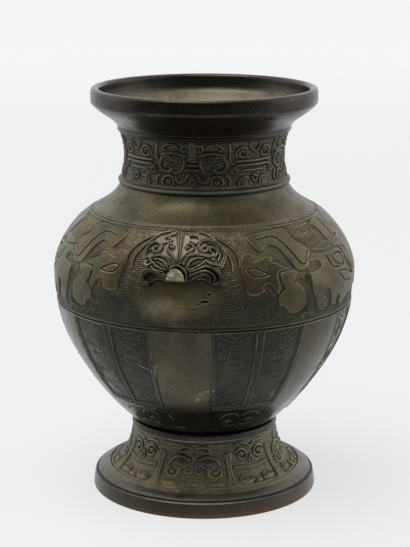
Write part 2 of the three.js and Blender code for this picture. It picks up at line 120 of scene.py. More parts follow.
def build_room():
    room = bpy.data.worlds.new("room")
    tree = cleared_tree(room)
    straight, mirrored = ray_kinds(tree)
    way = node(tree, "ShaderNodeTexCoord").outputs["Generated"]
    back = node(tree, "ShaderNodeSeparateXYZ", {"Vector": way}).outputs["Y"]
    # The far side of the room is bright and the side behind the camera dim.
    depth = ramp(tree, back, -0.9, 0.45, 0.06, 1.25, "SMOOTHSTEP")
    reflected = shader(tree, "Background", {"Color": ROOM, "Strength": depth})
    soft = shader(tree, "Background", {"Color": WHITE, "Strength": 0.28})
    plain = shader(tree, "Background", {"Color": ROOM, "Strength": 1.0})
    lit = shader(tree, "MixShader", {0: mirrored, 1: soft, 2: reflected})
    shown = shader(tree, "MixShader", {0: straight, 1: lit, 2: plain})
    node(tree, "ShaderNodeOutputWorld", {"Surface": shown})
    bpy.context.scene.world = room


def build_paper():
    sheet = bpy.data.meshes.new("floor")
    corners = [(x * PAPER_HALF, y * PAPER_HALF, 0.0) for x, y in ((-1, -1), (1, -1), (1, 1), (-1, 1))]
    sheet.from_pydata(corners, [], [(0, 1, 2, 3)])
    floor = new_object("floor", sheet)
    paper = bpy.data.materials.new("paper")
    tree = cleared_tree(paper)
    straight, mirrored = ray_kinds(tree)
    place = node(tree, "ShaderNodeTexCoord").outputs["Object"]
    back = node(tree, "ShaderNodeSeparateXYZ", {"Vector": place}).outputs["Y"]
    away = node(tree, "ShaderNodeVectorMath", {0: place}, operation="LENGTH").outputs["Value"]
    # Seen straight, the sheet pales away from the vase; in the bronze it darkens to the front.
    pale = ramp(tree, away, 0.0, 3.0, 0.79, 0.98)
    dim = ramp(tree, back, -1.2, -0.12, 0.06, 1.05, "SMOOTHSTEP")
    lit = shader(tree, "BsdfDiffuse", {"Color": PAPER})
    shade = shader(tree, "BsdfDiffuse", {"Color": PAPER_SHADE})
    glow = shader(tree, "Emission", {"Color": PAPER, "Strength": pale})
    reflected = shader(tree, "Emission", {"Color": PAPER, "Strength": dim})
    lifted = shader(tree, "AddShader", {0: shade, 1: glow})
    unseen = shader(tree, "MixShader", {0: mirrored, 1: lit, 2: reflected})
    shown = shader(tree, "MixShader", {0: straight, 1: unseen, 2: lifted})
    node(tree, "ShaderNodeOutputMaterial", {"Surface": shown})
    sheet.materials.append(paper)


def soft_box(name, place, size, glow):
    """An area lamp of the given size in metres that shines on the shoulder of the vase."""
    lamp = bpy.data.lights.new(name, "AREA")
    lamp.shape = "RECTANGLE"
    lamp.size, lamp.size_y = size
    lamp.energy = glow * math.pi * size[0] * size[1]
    box = new_object(name, lamp)
    x, y, z = place
    box.location = place
    box.rotation_euler = (math.atan2(math.hypot(x, y), z - LAMP_AIM), 0.0, math.atan2(x, -y))


build_room()
build_paper()
soft_box("box_above", (-0.25, -0.2, 1.55), (1.05, 0.9), 4.4)
soft_box("box_left", (-1.5, -0.1, 0.75), (1.0, 1.3), 0.95)
soft_box("box_right", (1.5, 0.25, 0.65), (0.9, 1.2), 1.15)


# Plinth ring: the shallow bronze ring that the vase stands on, turned true after casting. Its edge
# is rubbed brown by the table, and a fine groove runs round under its sloping top.
MM = 0.001
PLINTH_RADIUS = 83.7
PLINTH_ARRIS_RADIUS = 82.4
PLINTH_ARRIS = 10.7
PLINTH_HEIGHT = 17.4
FLARE_RADIUS = 71.2
SEAM = 0.15
TURNED_SEGMENTS = 256


def turning_tree():
    """Geometry nodes that turn an outline, a loop of points in the XZ plane, about the Z axis."""
    tree = bpy.data.node_groups.new("turned_casting", "GeometryNodeTree")
    for label, kind in (("Outline", "Geometry"), ("Segments", "Int"), ("Finish", "Material")):
        tree.interface.new_socket(label, in_out="INPUT", socket_type="NodeSocket" + kind)
    tree.interface.new_socket("Casting", in_out="OUTPUT", socket_type="NodeSocketGeometry")
    given = node(tree, "NodeGroupInput").outputs
    size = node(tree, "GeometryNodeAttributeDomainSize", {"Geometry": given["Outline"]})
    count = size.outputs["Point Count"]
    grid = node(tree, "GeometryNodeMeshGrid", {
        "Size X": 1.0, "Size Y": 1.0, "Vertices X": maths(tree, "ADD", given["Segments"], 1.0),
        "Vertices Y": maths(tree, "ADD", count, 1.0),
    })
    # Each row of the grid takes one point of the outline, and the last row takes the first again.
    at = node(tree, "GeometryNodeInputPosition").outputs[0]
    uv = node(tree, "ShaderNodeSeparateXYZ", {"Vector": at}).outputs
    row = maths(tree, "MULTIPLY", maths(tree, "ADD", uv["Y"], 0.5), count)
    point = maths(tree, "MODULO", maths(tree, "ROUND", row), count)
    sample = node(tree, "GeometryNodeSampleIndex", {
        "Geometry": given["Outline"], "Value": at, "Index": point,
    }, data_type="FLOAT_VECTOR")
    angle = maths(tree, "MULTIPLY", maths(tree, "ADD", uv["X"], 0.5), 2 * math.pi)
    turned = node(tree, "ShaderNodeVectorRotate", {
        "Vector": sample.outputs["Value"], "Angle": angle,
    }, rotation_type="Z_AXIS").outputs[0]
    casting = grid.outputs["Mesh"]
    for kind, inputs in (
        ("SetPosition", {"Position": turned}), ("MergeByDistance", {"Distance": 1e-6}),
        ("SetShadeSmooth", {}), ("RealizeInstances", {}), ("SetMaterial", {"Material": given["Finish"]}),
    ):
        casting = node(tree, "GeometryNode" + kind, {"Geometry": casting, **inputs}).outputs[0]
    node(tree, "NodeGroupOutput", {"Casting": casting})
    return tree


TURNING = turning_tree()


def turned_piece(name, outline, finish, segments=TURNED_SEGMENTS):
    """Turns an outline with the geometry nodes and keeps the result as a plain mesh object."""
    mesh = bpy.data.meshes.new(name + "_outline")
    loop = [(r * MM, 0.0, z * MM) for r, z in outline]
    mesh.from_pydata(loop, [(i, (i + 1) % len(loop)) for i in range(len(loop))], [])
    base = new_object(name + "_outline", mesh)
    modifier = base.modifiers.new("turning", "NODES")
    modifier.node_group = TURNING
    sockets = {item.name: item.identifier for item in TURNING.interface.items_tree}
    modifier[sockets["Segments"]] = segments
    modifier[sockets["Finish"]] = finish
    graph = bpy.context.evaluated_depsgraph_get()
    result = bpy.data.meshes.new_from_object(base.evaluated_get(graph))
    bpy.data.objects.remove(base)
    result.name = name
    return new_object(name, result)


def eased(outline, edge=0.25):
    """Rounds the corners of a closed outline with two short chamfers each, in millimetres."""
    corners = np.array(outline, float)
    before = np.roll(corners, 1, axis=0) - corners
    after = np.roll(corners, -1, axis=0) - corners
    long_before = np.linalg.norm(before, axis=1, keepdims=True)
    long_after = np.linalg.norm(after, axis=1, keepdims=True)
    cut = np.minimum(edge, 0.35 * np.minimum(long_before, long_after))
    start = corners + before / long_before * cut
    end = corners + after / long_after * cut
    middle = 0.25 * start + 0.5 * corners + 0.25 * end
    return np.stack([start, middle, end], axis=1).reshape(-1, 2)


def patina(name, skin, cloud, tint, bare_and_highlight, mark, gloss=0.34, deep=0.85, rub_and_highlight=0.5, wax=0.45, patchy=0.7):
    """Waxed bronze. Skin, cloud and tint are the tones of its patina, bare is the metal that shows on high
    spots and also a painted highlight along crests, and mark is the dust and the scratches and, on a few
    edges, a painted highlight. The mesh's own values say where painted shade darkens its hollows
    (cavity), where it stands proud (lift), where the mark lies (worn) and what is tinted."""
    material = bpy.data.materials.new(name)
    tree = cleared_tree(material)
    place = node(tree, "ShaderNodeTexCoord").outputs["Object"]
    dark, shade_tone = ((*(share * c for c in skin), 1.0) for share in (0.3, 0.12))
    skin, cloud, tint, bare_and_highlight, mark = ((*colour, 1.0) for colour in (skin, cloud, tint, bare_and_highlight, mark))

    def noise(scale, detail, rough=0.55, stretch=(1.0, 1.0, 1.0), shift=0.0):
        mapped = node(tree, "ShaderNodeMapping", {
            "Vector": place, "Scale": stretch, "Location": (shift, shift, shift),
        })
        return node(tree, "ShaderNodeTexNoise", {
            "Vector": mapped.outputs[0], "Scale": scale, "Detail": detail, "Roughness": rough,
        }).outputs["Fac"]

    def span(value, *ends):
        return ramp(tree, value, *ends)

    def held(operation, a, b):
        return maths(tree, operation, a, b, clamp=True)

    def blend(factor, a, b):
        return node(tree, "ShaderNodeMix", {0: factor, 6: a, 7: b}, data_type="RGBA").outputs[2]

    cavity, lift, worn, tinted = (
        node(tree, "ShaderNodeAttribute", attribute_name=key).outputs["Fac"]
        for key in ("cavity", "lift", "worn", "tinted")
    )
    clouds = noise(17.0, 5.0)
    patches = noise(24.0, 4.0, 0.6, shift=0.57)
    blotches = noise(75.0, 6.0, 0.62)
    streaks = noise(60.0, 4.0, 0.6, (1.0, 1.0, 0.16))
    speckle = noise(420.0, 3.0, 0.7)
    grain = noise(1100.0, 3.0, 0.7)
    tone = blend(span(clouds, 0.38, 0.64), skin, cloud)
    tone = blend(held("MAXIMUM", span(patches, 0.50, 0.64, 0.0, patchy), tinted), tone, tint)
    tone = blend(span(streaks, 0.5, 0.78, 0.0, 0.35), tone, cloud)
    tone = blend(span(blotches, 0.54, 0.72, 0.0, 0.6), tone, dark)
    tone = blend(span(speckle, 0.53, 0.70, 0.0, 0.6), tone, dark)
    tone = blend(span(speckle, 0.40, 0.28, 0.0, 0.3), tone, bare_and_highlight)
    # Painted shade: the hollows are darkened towards a near-black tone, where shade would fall in them.
    hollow_shade = held("MULTIPLY", cavity, deep)
    tone = blend(hollow_shade, tone, shade_tone)
    # The crests take the bare colour: partly metal rubbed bright, partly a painted highlight on their
    # edges.
    rubbed_and_highlight = held("MULTIPLY", held("MULTIPLY", lift, lift), span(blotches, 0.32, 0.58, 0.15, 1.0))
    rubbed_and_highlight = held("MULTIPLY", rubbed_and_highlight, rub_and_highlight)
    tone = blend(rubbed_and_highlight, tone, bare_and_highlight)
    # The mark colour is dust and scratches, and on a few edges a painted highlight.
    settled_and_highlight = held("MULTIPLY", worn, span(blotches, 0.34, 0.60, 0.3, 1.0))
    settled_and_highlight = held("MULTIPLY", settled_and_highlight, span(speckle, 0.36, 0.56, 0.55, 1.0))
    tone = blend(settled_and_highlight, tone, mark)
    rough = span(blotches, 0.3, 0.7, gloss - 0.07, gloss + 0.12)
    rough = held("ADD", rough, held("MULTIPLY", settled_and_highlight, 0.4))
    rough = held("ADD", rough, held("MULTIPLY", hollow_shade, 0.25))
    metal = held("SUBTRACT", held("ADD", 0.62, held("MULTIPLY", rubbed_and_highlight, 0.3)), settled_and_highlight)
    relief = held("ADD", held("MULTIPLY", grain, 0.4), held("MULTIPLY", speckle, 0.6))
    bump = shader(tree, "Bump", {"Strength": 0.6, "Distance": 0.00025, "Height": relief})
    surface = shader(tree, "BsdfPrincipled", {
        "Base Color": tone, "Metallic": metal, "Roughness": rough, "Normal": bump,
        "Specular IOR Level": 0.5, "Coat Weight": wax, "Coat Roughness": 0.2, "Coat Normal": bump,
    })
    node(tree, "ShaderNodeOutputMaterial", {"Surface": surface})
    return material


def set_values(mesh, key, values):
    """Gives each point of a mesh a value that its patina reads."""
    layer = mesh.attributes.new(key, "FLOAT", "POINT")
    layer.data.foreach_set("value", np.ravel(values).astype(np.float32))


def mark_points(piece, key, rule):
    """Gives each point of a turned casting a value from 0 to 1 by its radius, height and direction."""
    flat = np.empty(len(piece.data.vertices) * 3)
    piece.data.vertices.foreach_get("co", flat)
    x, y, z = flat.reshape(-1, 3).T / MM
    values = rule(np.hypot(x, y), z, np.degrees(np.arctan2(x, -y)))
    set_values(piece.data, key, np.clip(values, 0.0, 1.0))


def plinth_groove(r, z, a):
    return 1.0 * (z > 10.9) * (z < 12.2) * (r > 79.8)


def plinth_rubbed(r, z, a):
    """The edge is rubbed all round, more at its foot and more to the right of the front."""
    foot = np.clip((4.0 - z) / 3.0, 0.0, 1.0)
    return (z < 9.0) * (0.30 + 0.35 * np.cos(np.radians(a - 55.0)) + 0.35 * foot)


def plinth_dust_and_highlight(r, z, a):
    """Dust lies on the sloping top, and a painted highlight runs along the arris at the front."""
    arris = (z > 10.2) * (z < 11.2) * (r > 80.6) * np.exp(-((a - 5.0) / 30.0) ** 2)
    return np.where(z > 12.4, 0.20 + 0.2 * (z > 15.25), arris)


plinth_finish = patina(
    "dark_patina", (0.034, 0.029, 0.019), (0.060, 0.054, 0.037), (0.040, 0.037, 0.027),
    (0.13, 0.067, 0.034), (0.42, 0.38, 0.26), gloss=0.33, rub_and_highlight=0.9, wax=0.12,
)
plinth = turned_piece("plinth_ring_cast", eased([
    (PLINTH_RADIUS - 4.2, 0.0), (PLINTH_RADIUS - 0.3, 0.0), (PLINTH_RADIUS, 0.9),
    (PLINTH_RADIUS - 0.2, 3.4), (PLINTH_RADIUS - 0.7, 6.4),
    (PLINTH_ARRIS_RADIUS, PLINTH_ARRIS - 0.8), (PLINTH_ARRIS_RADIUS - 0.2, PLINTH_ARRIS),
    (PLINTH_ARRIS_RADIUS - 0.9, PLINTH_ARRIS + 0.4), (PLINTH_ARRIS_RADIUS - 1.9, PLINTH_ARRIS + 0.3),
    (PLINTH_ARRIS_RADIUS - 2.0, PLINTH_ARRIS + 1.2), (PLINTH_ARRIS_RADIUS - 2.8, PLINTH_ARRIS + 1.9),
    (PLINTH_ARRIS_RADIUS - 4.2, PLINTH_ARRIS + 2.9), (FLARE_RADIUS + 3.2, PLINTH_HEIGHT - 2.2),
    (FLARE_RADIUS + 2.4, PLINTH_HEIGHT - 2.1), (FLARE_RADIUS + 2.2, PLINTH_HEIGHT - 1.1),
    (FLARE_RADIUS + 1.2, PLINTH_HEIGHT - 1.0), (FLARE_RADIUS + SEAM, PLINTH_HEIGHT),
    (FLARE_RADIUS + SEAM, 13.1), (64.2, 13.1), (64.2, 9.5), (PLINTH_RADIUS - 4.2, 9.5),
]), plinth_finish)
# Painted shade darkens the fine groove, and the arris gets a painted highlight in the mark colour.
mark_points(plinth, "cavity", plinth_groove)
mark_points(plinth, "lift", plinth_rubbed)
mark_points(plinth, "worn", plinth_dust_and_highlight)
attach(plinth, "root")
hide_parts("plinth_ring")


# Foot: a hollow trumpet, cast by the lost wax with a frieze of masks on its flare, four times
# round. Dust and old polish lie in the low parts near the plinth.
FOOT_SEAT = 52.6
FOOT_COLLAR_RADIUS = 54.3
FOOT_COLLAR_BOTTOM = 47.2
FOOT_MEAN_RADIUS = 61.0
FLOOR_RADIUS = 50.5
FLOOR_LEDGE = 41.5
GROUND = -0.9
MARGIN = 4.9
CELL = 15


def sweep(start, leave, end, arrive, fullness=(0.33, 0.33), steps=48):
    """A meridian between two points, leaving and arriving at the given angles from the outward radius."""
    a, d = np.array(start, float), np.array(end, float)
    chord = np.linalg.norm(d - a)

    def way(degrees):
        turn = math.radians(degrees)
        return np.array([math.cos(turn), math.sin(turn)])

    b = a + way(leave) * fullness[0] * chord
    c = d - way(arrive) * fullness[1] * chord
    u = np.linspace(0.0, 1.0, steps + 1)[:, None]
    return (1 - u) ** 3 * a + 3 * (1 - u) ** 2 * u * b + 3 * (1 - u) * u ** 2 * c + u ** 3 * d


def joined(*lines):
    kept = [lines[0]]
    for line in lines[1:]:
        same = np.allclose(kept[-1][-1], line[0], atol=1e-6)
        kept.append(line[1:] if same else line)
    return np.vstack(kept)


def smooth(points, closed=False, steps=6):
    """A smooth line through given points."""
    p = np.array(points, float)
    if closed:
        ring = np.vstack([p[-1:], p, p[:2]])
    else:
        ring = np.vstack([2 * p[:1] - p[1:2], p, 2 * p[-1:] - p[-2:-1]])
    u = np.linspace(0.0, 1.0, steps, endpoint=False)[:, None]
    parts = []
    for a, b, c, d in zip(ring, ring[1:], ring[2:], ring[3:]):
        cubic = (3 * b - a - 3 * c + d) * u ** 3
        parts.append(0.5 * (2 * b + (c - a) * u + (2 * a - 5 * b + 4 * c - d) * u ** 2 + cubic))
    line = np.vstack(parts)
    return line if closed else np.vstack([line, p[-1:]])


def spiral(centre, outer, inner, turns, start=0.0, squash=1.0, way=1):
    """Points of a spiral, in the same units as its centre. Start is in degrees from +across."""
    part = np.linspace(0.0, 1.0, int(14 * turns) + 2)
    angle = math.radians(start) + way * 2 * math.pi * turns * part
    reach = outer + (inner - outer) * part
    return np.stack([
        centre[0] + np.cos(angle) * reach, centre[1] + np.sin(angle) * reach * squash,
    ], axis=1)


def arc_along(line):
    """How far along a line each of its points is."""
    steps = np.linalg.norm(np.diff(line, axis=0), axis=1)
    return np.concatenate([[0.0], np.cumsum(steps)])


def resampled(line, up):
    """The points of a line at the given distances along it."""
    arc = arc_along(line)
    return np.stack([np.interp(up, arc, line[:, 0]), np.interp(up, arc, line[:, 1])], axis=1)


class Wall:
    """The outer face of a casting, unrolled: degrees round the vase by millimetres up the meridian.
    Heights are drawn on it in millimetres, and points are given as (degrees, level)."""

    def __init__(self, line, up, degrees, radius):
        self.line = line
        self.arc = arc_along(line)
        self.up = up
        self.per_degree = math.radians(1.0) * radius
        self.x, self.y = np.meshgrid(degrees * self.per_degree, up)
        self.height = np.zeros_like(self.x)
        self.cover = np.zeros_like(self.x)
        self.margin = np.full_like(self.x, MARGIN)

    def place(self, points):
        points = np.asarray(points, float)
        climbed = np.interp(points[:, 1], self.line[:, 1], self.arc)
        return np.stack([points[:, 0] * self.per_degree, climbed], axis=1)

    def near(self, path, reach):
        """Distance of each grid point from a path, up to reach, and how far along the path it is."""
        best = np.full(self.height.shape, float(reach))
        along = np.zeros(self.height.shape)
        across = self.x[0]
        for i, (a, b) in enumerate(zip(path, path[1:])):
            low, high = np.minimum(a, b) - reach, np.maximum(a, b) + reach
            cols = slice(*np.searchsorted(across, (low[0], high[0])))
            rows = slice(*np.searchsorted(self.up, (low[1], high[1])))
            x, y = self.x[rows, cols] - a[0], self.y[rows, cols] - a[1]
            way = b - a
            part = np.clip((x * way[0] + y * way[1]) / max(way @ way, 1e-9), 0.0, 1.0)
            gap = np.hypot(x - part * way[0], y - part * way[1])
            closer = gap < best[rows, cols]
            best[rows, cols] = np.where(closer, gap, best[rows, cols])
            along[rows, cols] = np.where(closer, (i + part) / (len(path) - 1), along[rows, cols])
        return best, along

    def inside(self, loop):
        hit = np.zeros(self.height.shape, bool)
        for a, b in zip(loop, np.roll(loop, -1, axis=0)):
            if a[1] == b[1]:
                continue
            crosses = (a[1] > self.y) != (b[1] > self.y)
            hit ^= crosses & (self.x < (b[0] - a[0]) * (self.y - a[1]) / (b[1] - a[1]) + a[0])
        return hit

    def follow(self, path, width, taper=1.0, curved=True):
        """Distance from a path, and half the width there of a line that tapers to its end."""
        line = self.place(path)
        if curved and len(line) > 2:
            line = smooth(line)
        gap, along = self.near(line, width)
        return gap, 0.5 * width * (1 + (taper - 1) * along)

    def level_off(self, part, height):
        """Brings the wall to one height where part is 1."""
        self.height = self.height * (1 - part) + height * part
        self.cover = np.maximum(self.cover, part)

    def plate(self, outline, height=0.0, edge=0.7, curved=True):
        """Raises or sinks the inside of an outline to one height."""
        loop = self.place(outline)
        if curved:
            loop = smooth(loop, closed=True, steps=5)
        gap, _ = self.near(np.vstack([loop, loop[:1]]), MARGIN)
        depth = np.where(self.inside(loop), gap, -gap)
        self.level_off(np.clip(0.5 + depth / edge, 0.0, 1.0), height)
        self.margin = np.minimum(self.margin, np.maximum(-depth, 0.0))

    def band(self, path, width, height=0.0, taper=1.0, edge=0.6):
        """A flat strip along a path, raised to one height, that tapers to its end."""
        gap, half = self.follow(path, width, taper)
        self.level_off(np.clip(0.5 + (half - gap) / edge, 0.0, 1.0), height)

    def stroke(self, path, width, rise, taper=1.0, curved=True):
        """Adds a rounded ridge along a path, or a groove where rise is negative."""
        gap, half = self.follow(path, width, taper, curved)
        self.height += rise * np.sqrt(np.clip(1 - (gap / half) ** 2, 0.0, 1.0))

    def dome(self, centre, half, height, rise=0.6):
        """A low boss with the given half sizes in degrees and millimetres, standing on height."""
        middle = self.place([centre])[0]
        far = np.hypot((self.x - middle[0]) / (half[0] * self.per_degree), (self.y - middle[1]) / half[1])
        part = np.clip((1.12 - far) / 0.24, 0.0, 1.0)
        top = height + rise * np.sqrt(np.clip(1 - 0.5 * far ** 2, 0.0, 1.0))
        self.height = self.height * (1 - part) + top * part


def thunder_ground(rows, cols, low, high):
    """The squared spirals of the ground: cells of 15 by 15 steps with a groove one step wide that
    winds in with two steps of metal between its turns. Each second cell is mirrored."""
    cell = np.ones((CELL, CELL))
    turns = [(1, 1), (1, 13), (13, 13), (13, 1), (4, 1), (4, 10), (10, 10), (10, 4), (7, 4), (7, 7)]
    for (r0, c0), (r1, c1) in zip(turns, turns[1:]):
        cell[min(r0, r1):max(r0, r1) + 1, min(c0, c1):max(c0, c1) + 1] = 0.0
    pair = np.hstack([cell, cell[:, ::-1]])
    block = np.vstack([pair, pair[::-1, ::-1]])
    times = (rows // len(block) + 1, cols // len(block) + 1)
    return low + (high - low) * np.tile(block, times)[:rows, :cols]


def blurred(field, passes):
    for _ in range(passes):
        padded = np.pad(field, ((1, 1), (0, 0)), mode="edge")
        field = (padded[:-2] + 2 * field + padded[2:]) / 4
        field = (np.roll(field, 1, axis=1) + 2 * field + np.roll(field, -1, axis=1)) / 4
    return field


def hollows(heights, passes=5, depth=0.45):
    """How deep each place lies under its surroundings, from 0 to 1."""
    return np.clip((blurred(heights, passes) - heights) / depth, 0.0, 1.0)


def crests(heights, passes=3, rise=0.16):
    """How far each place stands out of its surroundings, from 0 to 1."""
    return np.clip((heights - blurred(heights, passes)) / rise, 0.0, 1.0)


def ripple(degrees, up, seed, size, strength):
    """Slow unevenness of the cast wall, the same each time, as the mean of a few waves."""
    waves = 14
    random = np.random.default_rng(seed)
    total = np.zeros((len(up), len(degrees)))
    turn = np.radians(degrees)[None, :]
    for _ in range(waves):
        around = random.integers(2, int(360 / size) + 3)
        climb = random.uniform(-1.0, 1.0) * 2 * math.pi / size
        total += np.sin(around * turn + climb * up[:, None] + random.uniform(0, 2 * math.pi))
    return total * strength / waves


def four_round(half, boldness, first):
    """Four copies of a mask round a casting from the relief of its half, with the relief made bolder,
    and the directions of their columns. The first mask's middle lies at first, in degrees."""
    whole = np.hstack([half, half[:, -2:0:-1]])
    heights = GROUND + boldness * (np.hstack([whole] * 4) - GROUND)
    return heights, np.arange(heights.shape[1]) * 360.0 / heights.shape[1] + first


def outward(line):
    way = np.gradient(line, axis=0)
    way /= np.linalg.norm(way, axis=1, keepdims=True)
    return np.stack([way[:, 1], -way[:, 0]], axis=1)


def cast_piece(name, line, heights, rest, degrees, finish, sectors=1, rubbed_and_highlight=(), **marks):
    """The mesh of a casting: its outer line displaced by the heights, then the rest of its outline,
    turned through the given degrees. More than one sector gives as many closed meshes. Marks are
    the values for the finish on the outer line. The rest is tinted, and the edges of the rest that are
    listed by number get a painted highlight line."""
    turn = np.radians(degrees)
    normal = outward(line)
    r = line[:, :1] + normal[:, :1] * heights
    z = line[:, 1:] + normal[:, 1:] * heights
    rest = np.array(rest, float)
    r = np.vstack([r, np.repeat(rest[:, :1], len(turn), axis=1)])
    z = np.vstack([z, np.repeat(rest[:, 1:], len(turn), axis=1)])
    places = np.stack([r * np.sin(turn), -r * np.cos(turn), z], axis=2) * MM
    sideways = np.roll(places, -1, axis=1) - np.roll(places, 1, axis=1)
    upwards = np.roll(places, -1, axis=0) - np.roll(places, 1, axis=0)
    normals = np.cross(sideways, upwards)
    normals /= np.maximum(np.linalg.norm(normals, axis=2, keepdims=True), 1e-12)
    blank = np.zeros((len(rest), len(turn)))
    marks = {key: np.vstack([field, blank + (key == "tinted")]) for key, field in marks.items()}
    # Painted highlight: the listed edges of the rest take the pale colours all round.
    for edge in rubbed_and_highlight:
        marks["lift"][len(line) + edge] = 1.0
        marks["worn"][len(line) + edge] = 0.6
    pieces = []
    per = len(turn) // sectors
    for k in range(sectors):
        cols = np.arange(k * per, (k + 1) * per + (sectors > 1)) % len(turn)
        label = name if sectors == 1 else "%s_%d" % (name, k + 1)
        part = {key: field[:, cols] for key, field in marks.items()}
        pieces.append(grid_mesh(label, places[:, cols], normals[:, cols], part, finish, sectors == 1))
    return pieces


def grid_mesh(name, places, normals, marks, finish, whole):
    """A closed mesh of rows and columns of places. The rows close on themselves; the columns do too
    on a whole ring, and otherwise get a flat cap at each end."""
    rows, cols = places.shape[:2]
    index = np.arange(rows * cols).reshape(rows, cols)
    above = np.roll(index, -1, axis=0)
    if whole:
        right, above_right = np.roll(index, -1, axis=1), np.roll(above, -1, axis=1)
    else:
        right, above_right = index[:, 1:], above[:, 1:]
        index, above = index[:, :-1], above[:, :-1]
    corners = np.stack([index, right, above_right, above], axis=-1).reshape(-1)
    starts = np.arange(0, len(corners), 4)
    if not whole:
        first = np.arange(rows) * cols
        last = first[::-1] + cols - 1
        starts = np.concatenate([starts, [len(corners), len(corners) + rows]])
        corners = np.concatenate([corners, first, last])
    piece = mesh_piece(name, places, corners, starts, marks, finish)
    if not whole:
        piece.data.normals_split_custom_set_from_vertices(normals.reshape(-1, 3))
    return piece


def mesh_piece(name, places, corners, starts, marks, finish):
    """A smooth mesh object. Corners are the points round each face, and starts says where in them
    each face begins."""
    mesh = bpy.data.meshes.new(name)
    mesh.vertices.add(places.size // 3)
    mesh.vertices.foreach_set("co", places.reshape(-1).astype(np.float32))
    mesh.loops.add(len(corners))
    mesh.loops.foreach_set("vertex_index", corners.astype(np.int32))
    mesh.polygons.add(len(starts))
    mesh.polygons.foreach_set("loop_start", starts.astype(np.int32))
    mesh.polygons.foreach_set("use_smooth", np.ones(len(starts), bool))
    mesh.update(calc_edges=True)
    for key, values in marks.items():
        set_values(mesh, key, values)
    mesh.materials.append(finish)
    return new_object(name, mesh)


def foot_relief(wall):
    """Half of one foot mask, from its nose to halfway to the next."""
    rows, cols = wall.height.shape
    wall.height[:] = thunder_ground(rows, cols, low=-1.15, high=-0.75)
    wall.band([(-1.0, 44.6), (46.0, 44.6)], 1.1, -0.5)
    wall.stroke([(0.0, 37.0), (0.2, 28.0)], 3.4, 0.7)
    wall.band([(2.4, 42.8), (5.4, 43.4), (9.4, 43.0), (12.0, 41.0), (10.2, 39.4), (7.6, 40.6)],
              1.9, -0.1, 0.7)
    wall.band([(3.0, 34.4), (7.6, 36.4), (12.6, 36.4), (17.2, 34.0), (19.4, 30.8)], 2.1, 0.0, 0.7)
    wall.plate([(5.0, 31.0), (8.2, 33.8), (12.6, 33.7), (16.0, 31.0), (12.4, 28.9), (8.0, 28.8)], -0.2)
    wall.dome((10.4, 31.3), (2.4, 1.6), -0.5, 0.8)
    wall.stroke([(7.0, 31.4), (10.4, 33.1), (13.9, 31.2), (10.4, 29.6), (7.0, 31.4)], 0.7, -0.5)
    wall.band([(1.4, 26.6), (4.4, 25.6), (6.4, 27.2), (4.6, 28.6)], 1.6, -0.1, 0.7)
    wall.band([(10.4, 28.0), (11.4, 24.6), (15.0, 23.2), (18.6, 24.2), (20.0, 27.0), (17.6, 28.2)],
              2.0, 0.0, 0.7)
    wall.dome((15.4, 26.0), (1.6, 1.2), -0.5, 0.7)
    wall.dome((0.0, 19.4), (3.0, 1.5), -0.5, 0.6)
    wall.plate([(4.6, 18.3), (6.2, 21.2), (8.4, 18.3)], -0.1)
    wall.dome((15.6, 19.7), (3.6, 1.9), -0.5, 0.6)
    wall.stroke([(10.8, 18.3), (12.2, 20.9), (15.6, 22.2), (19.0, 20.9), (20.4, 18.3)], 0.9, 0.5)
    wall.plate([(22.6, 18.3), (24.2, 22.6), (24.2, 32.0), (23.0, 38.2), (28.6, 38.2), (27.8, 32.0),
                (28.0, 22.6), (30.2, 18.3)], 0.0)
    wall.stroke([(26.0, 37.0), (26.1, 21.0)], 0.8, -0.5)
    wall.band(spiral((37.0, 36.2), 5.6, 1.4, 1.35, 150.0, 0.85, -1), 1.7, 0.0, 0.8)
    wall.dome((37.0, 36.2), (1.3, 1.1), -0.5, 0.7)
    wall.band([(30.2, 28.6), (38.0, 27.8), (46.0, 27.2)], 2.2, 0.0)
    wall.stroke([(31.0, 28.5), (46.0, 27.2)], 0.6, -0.4)
    wall.band([(31.0, 43.6), (35.0, 44.4), (41.0, 43.8), (45.5, 40.8)], 1.6, -0.1, 0.7)
    wall.band([(43.4, 31.2), (44.0, 34.4), (46.0, 35.6)], 1.6, 0.0)
    wall.dome((36.0, 19.8), (4.6, 2.0), -0.4, 0.5)
    wall.stroke([(30.4, 18.3), (32.2, 21.6), (36.0, 23.0), (39.8, 21.6), (41.6, 18.3)], 1.0, 0.6)
    wall.dome((45.0, 19.4), (2.6, 1.6), -0.4, 0.5)
    wall.band([(-1.0, 18.0), (46.0, 18.0)], 1.0, -0.2)


def from_front(degrees):
    """Directions from the middle of the front, from -180 to 180."""
    return (degrees + 180.0) % 360.0 - 180.0


foot_line = sweep(
    (FOOT_COLLAR_RADIUS - 0.6, FOOT_COLLAR_BOTTOM), 276, (FLARE_RADIUS, PLINTH_HEIGHT), 342, (0.34, 0.41),
)[::-1]
foot_up = np.linspace(0.0, arc_along(foot_line)[-1], 91)
foot_face = resampled(foot_line, foot_up)
foot_level = foot_face[:, 1:]
foot_wall = Wall(foot_line, foot_up, np.linspace(0.0, 45.0, 98), FOOT_MEAN_RADIUS)
foot_relief(foot_wall)
foot_heights, foot_degrees = four_round(foot_wall.height, boldness=1.45, first=1.3)
# The rows by the plinth stay low, so that they pass inside its edge.
foot_heights[:4] = np.minimum(foot_heights[:4], -0.15)
foot_heights += ripple(foot_degrees, foot_up, seed=5, size=22.0, strength=0.25) - 0.12
foot_finish = patina(
    "olive_patina", (0.070, 0.069, 0.047), (0.110, 0.106, 0.071), (0.018, 0.018, 0.012),
    (0.27, 0.245, 0.165), (0.36, 0.29, 0.15), gloss=0.38, rub_and_highlight=0.6, wax=0.08, patchy=0.4,
)
# The dust grows thicker towards the plinth; the deepest lines get none, and painted shade darkens them.
foot_hollows = hollows(foot_heights, 3, 0.24)
dustier = np.clip((36.0 - foot_level) / 14.0, 0.05, 1.15)
dustier += 0.7 * np.clip((24.0 - foot_level) / 5.0, 0.0, 1.0)
foot_worn = dustier * (0.34 + 0.75 * hollows(foot_heights, 10)) * (1 - 0.85 * foot_hollows)
foot_worn = np.minimum(foot_worn, 1.0)
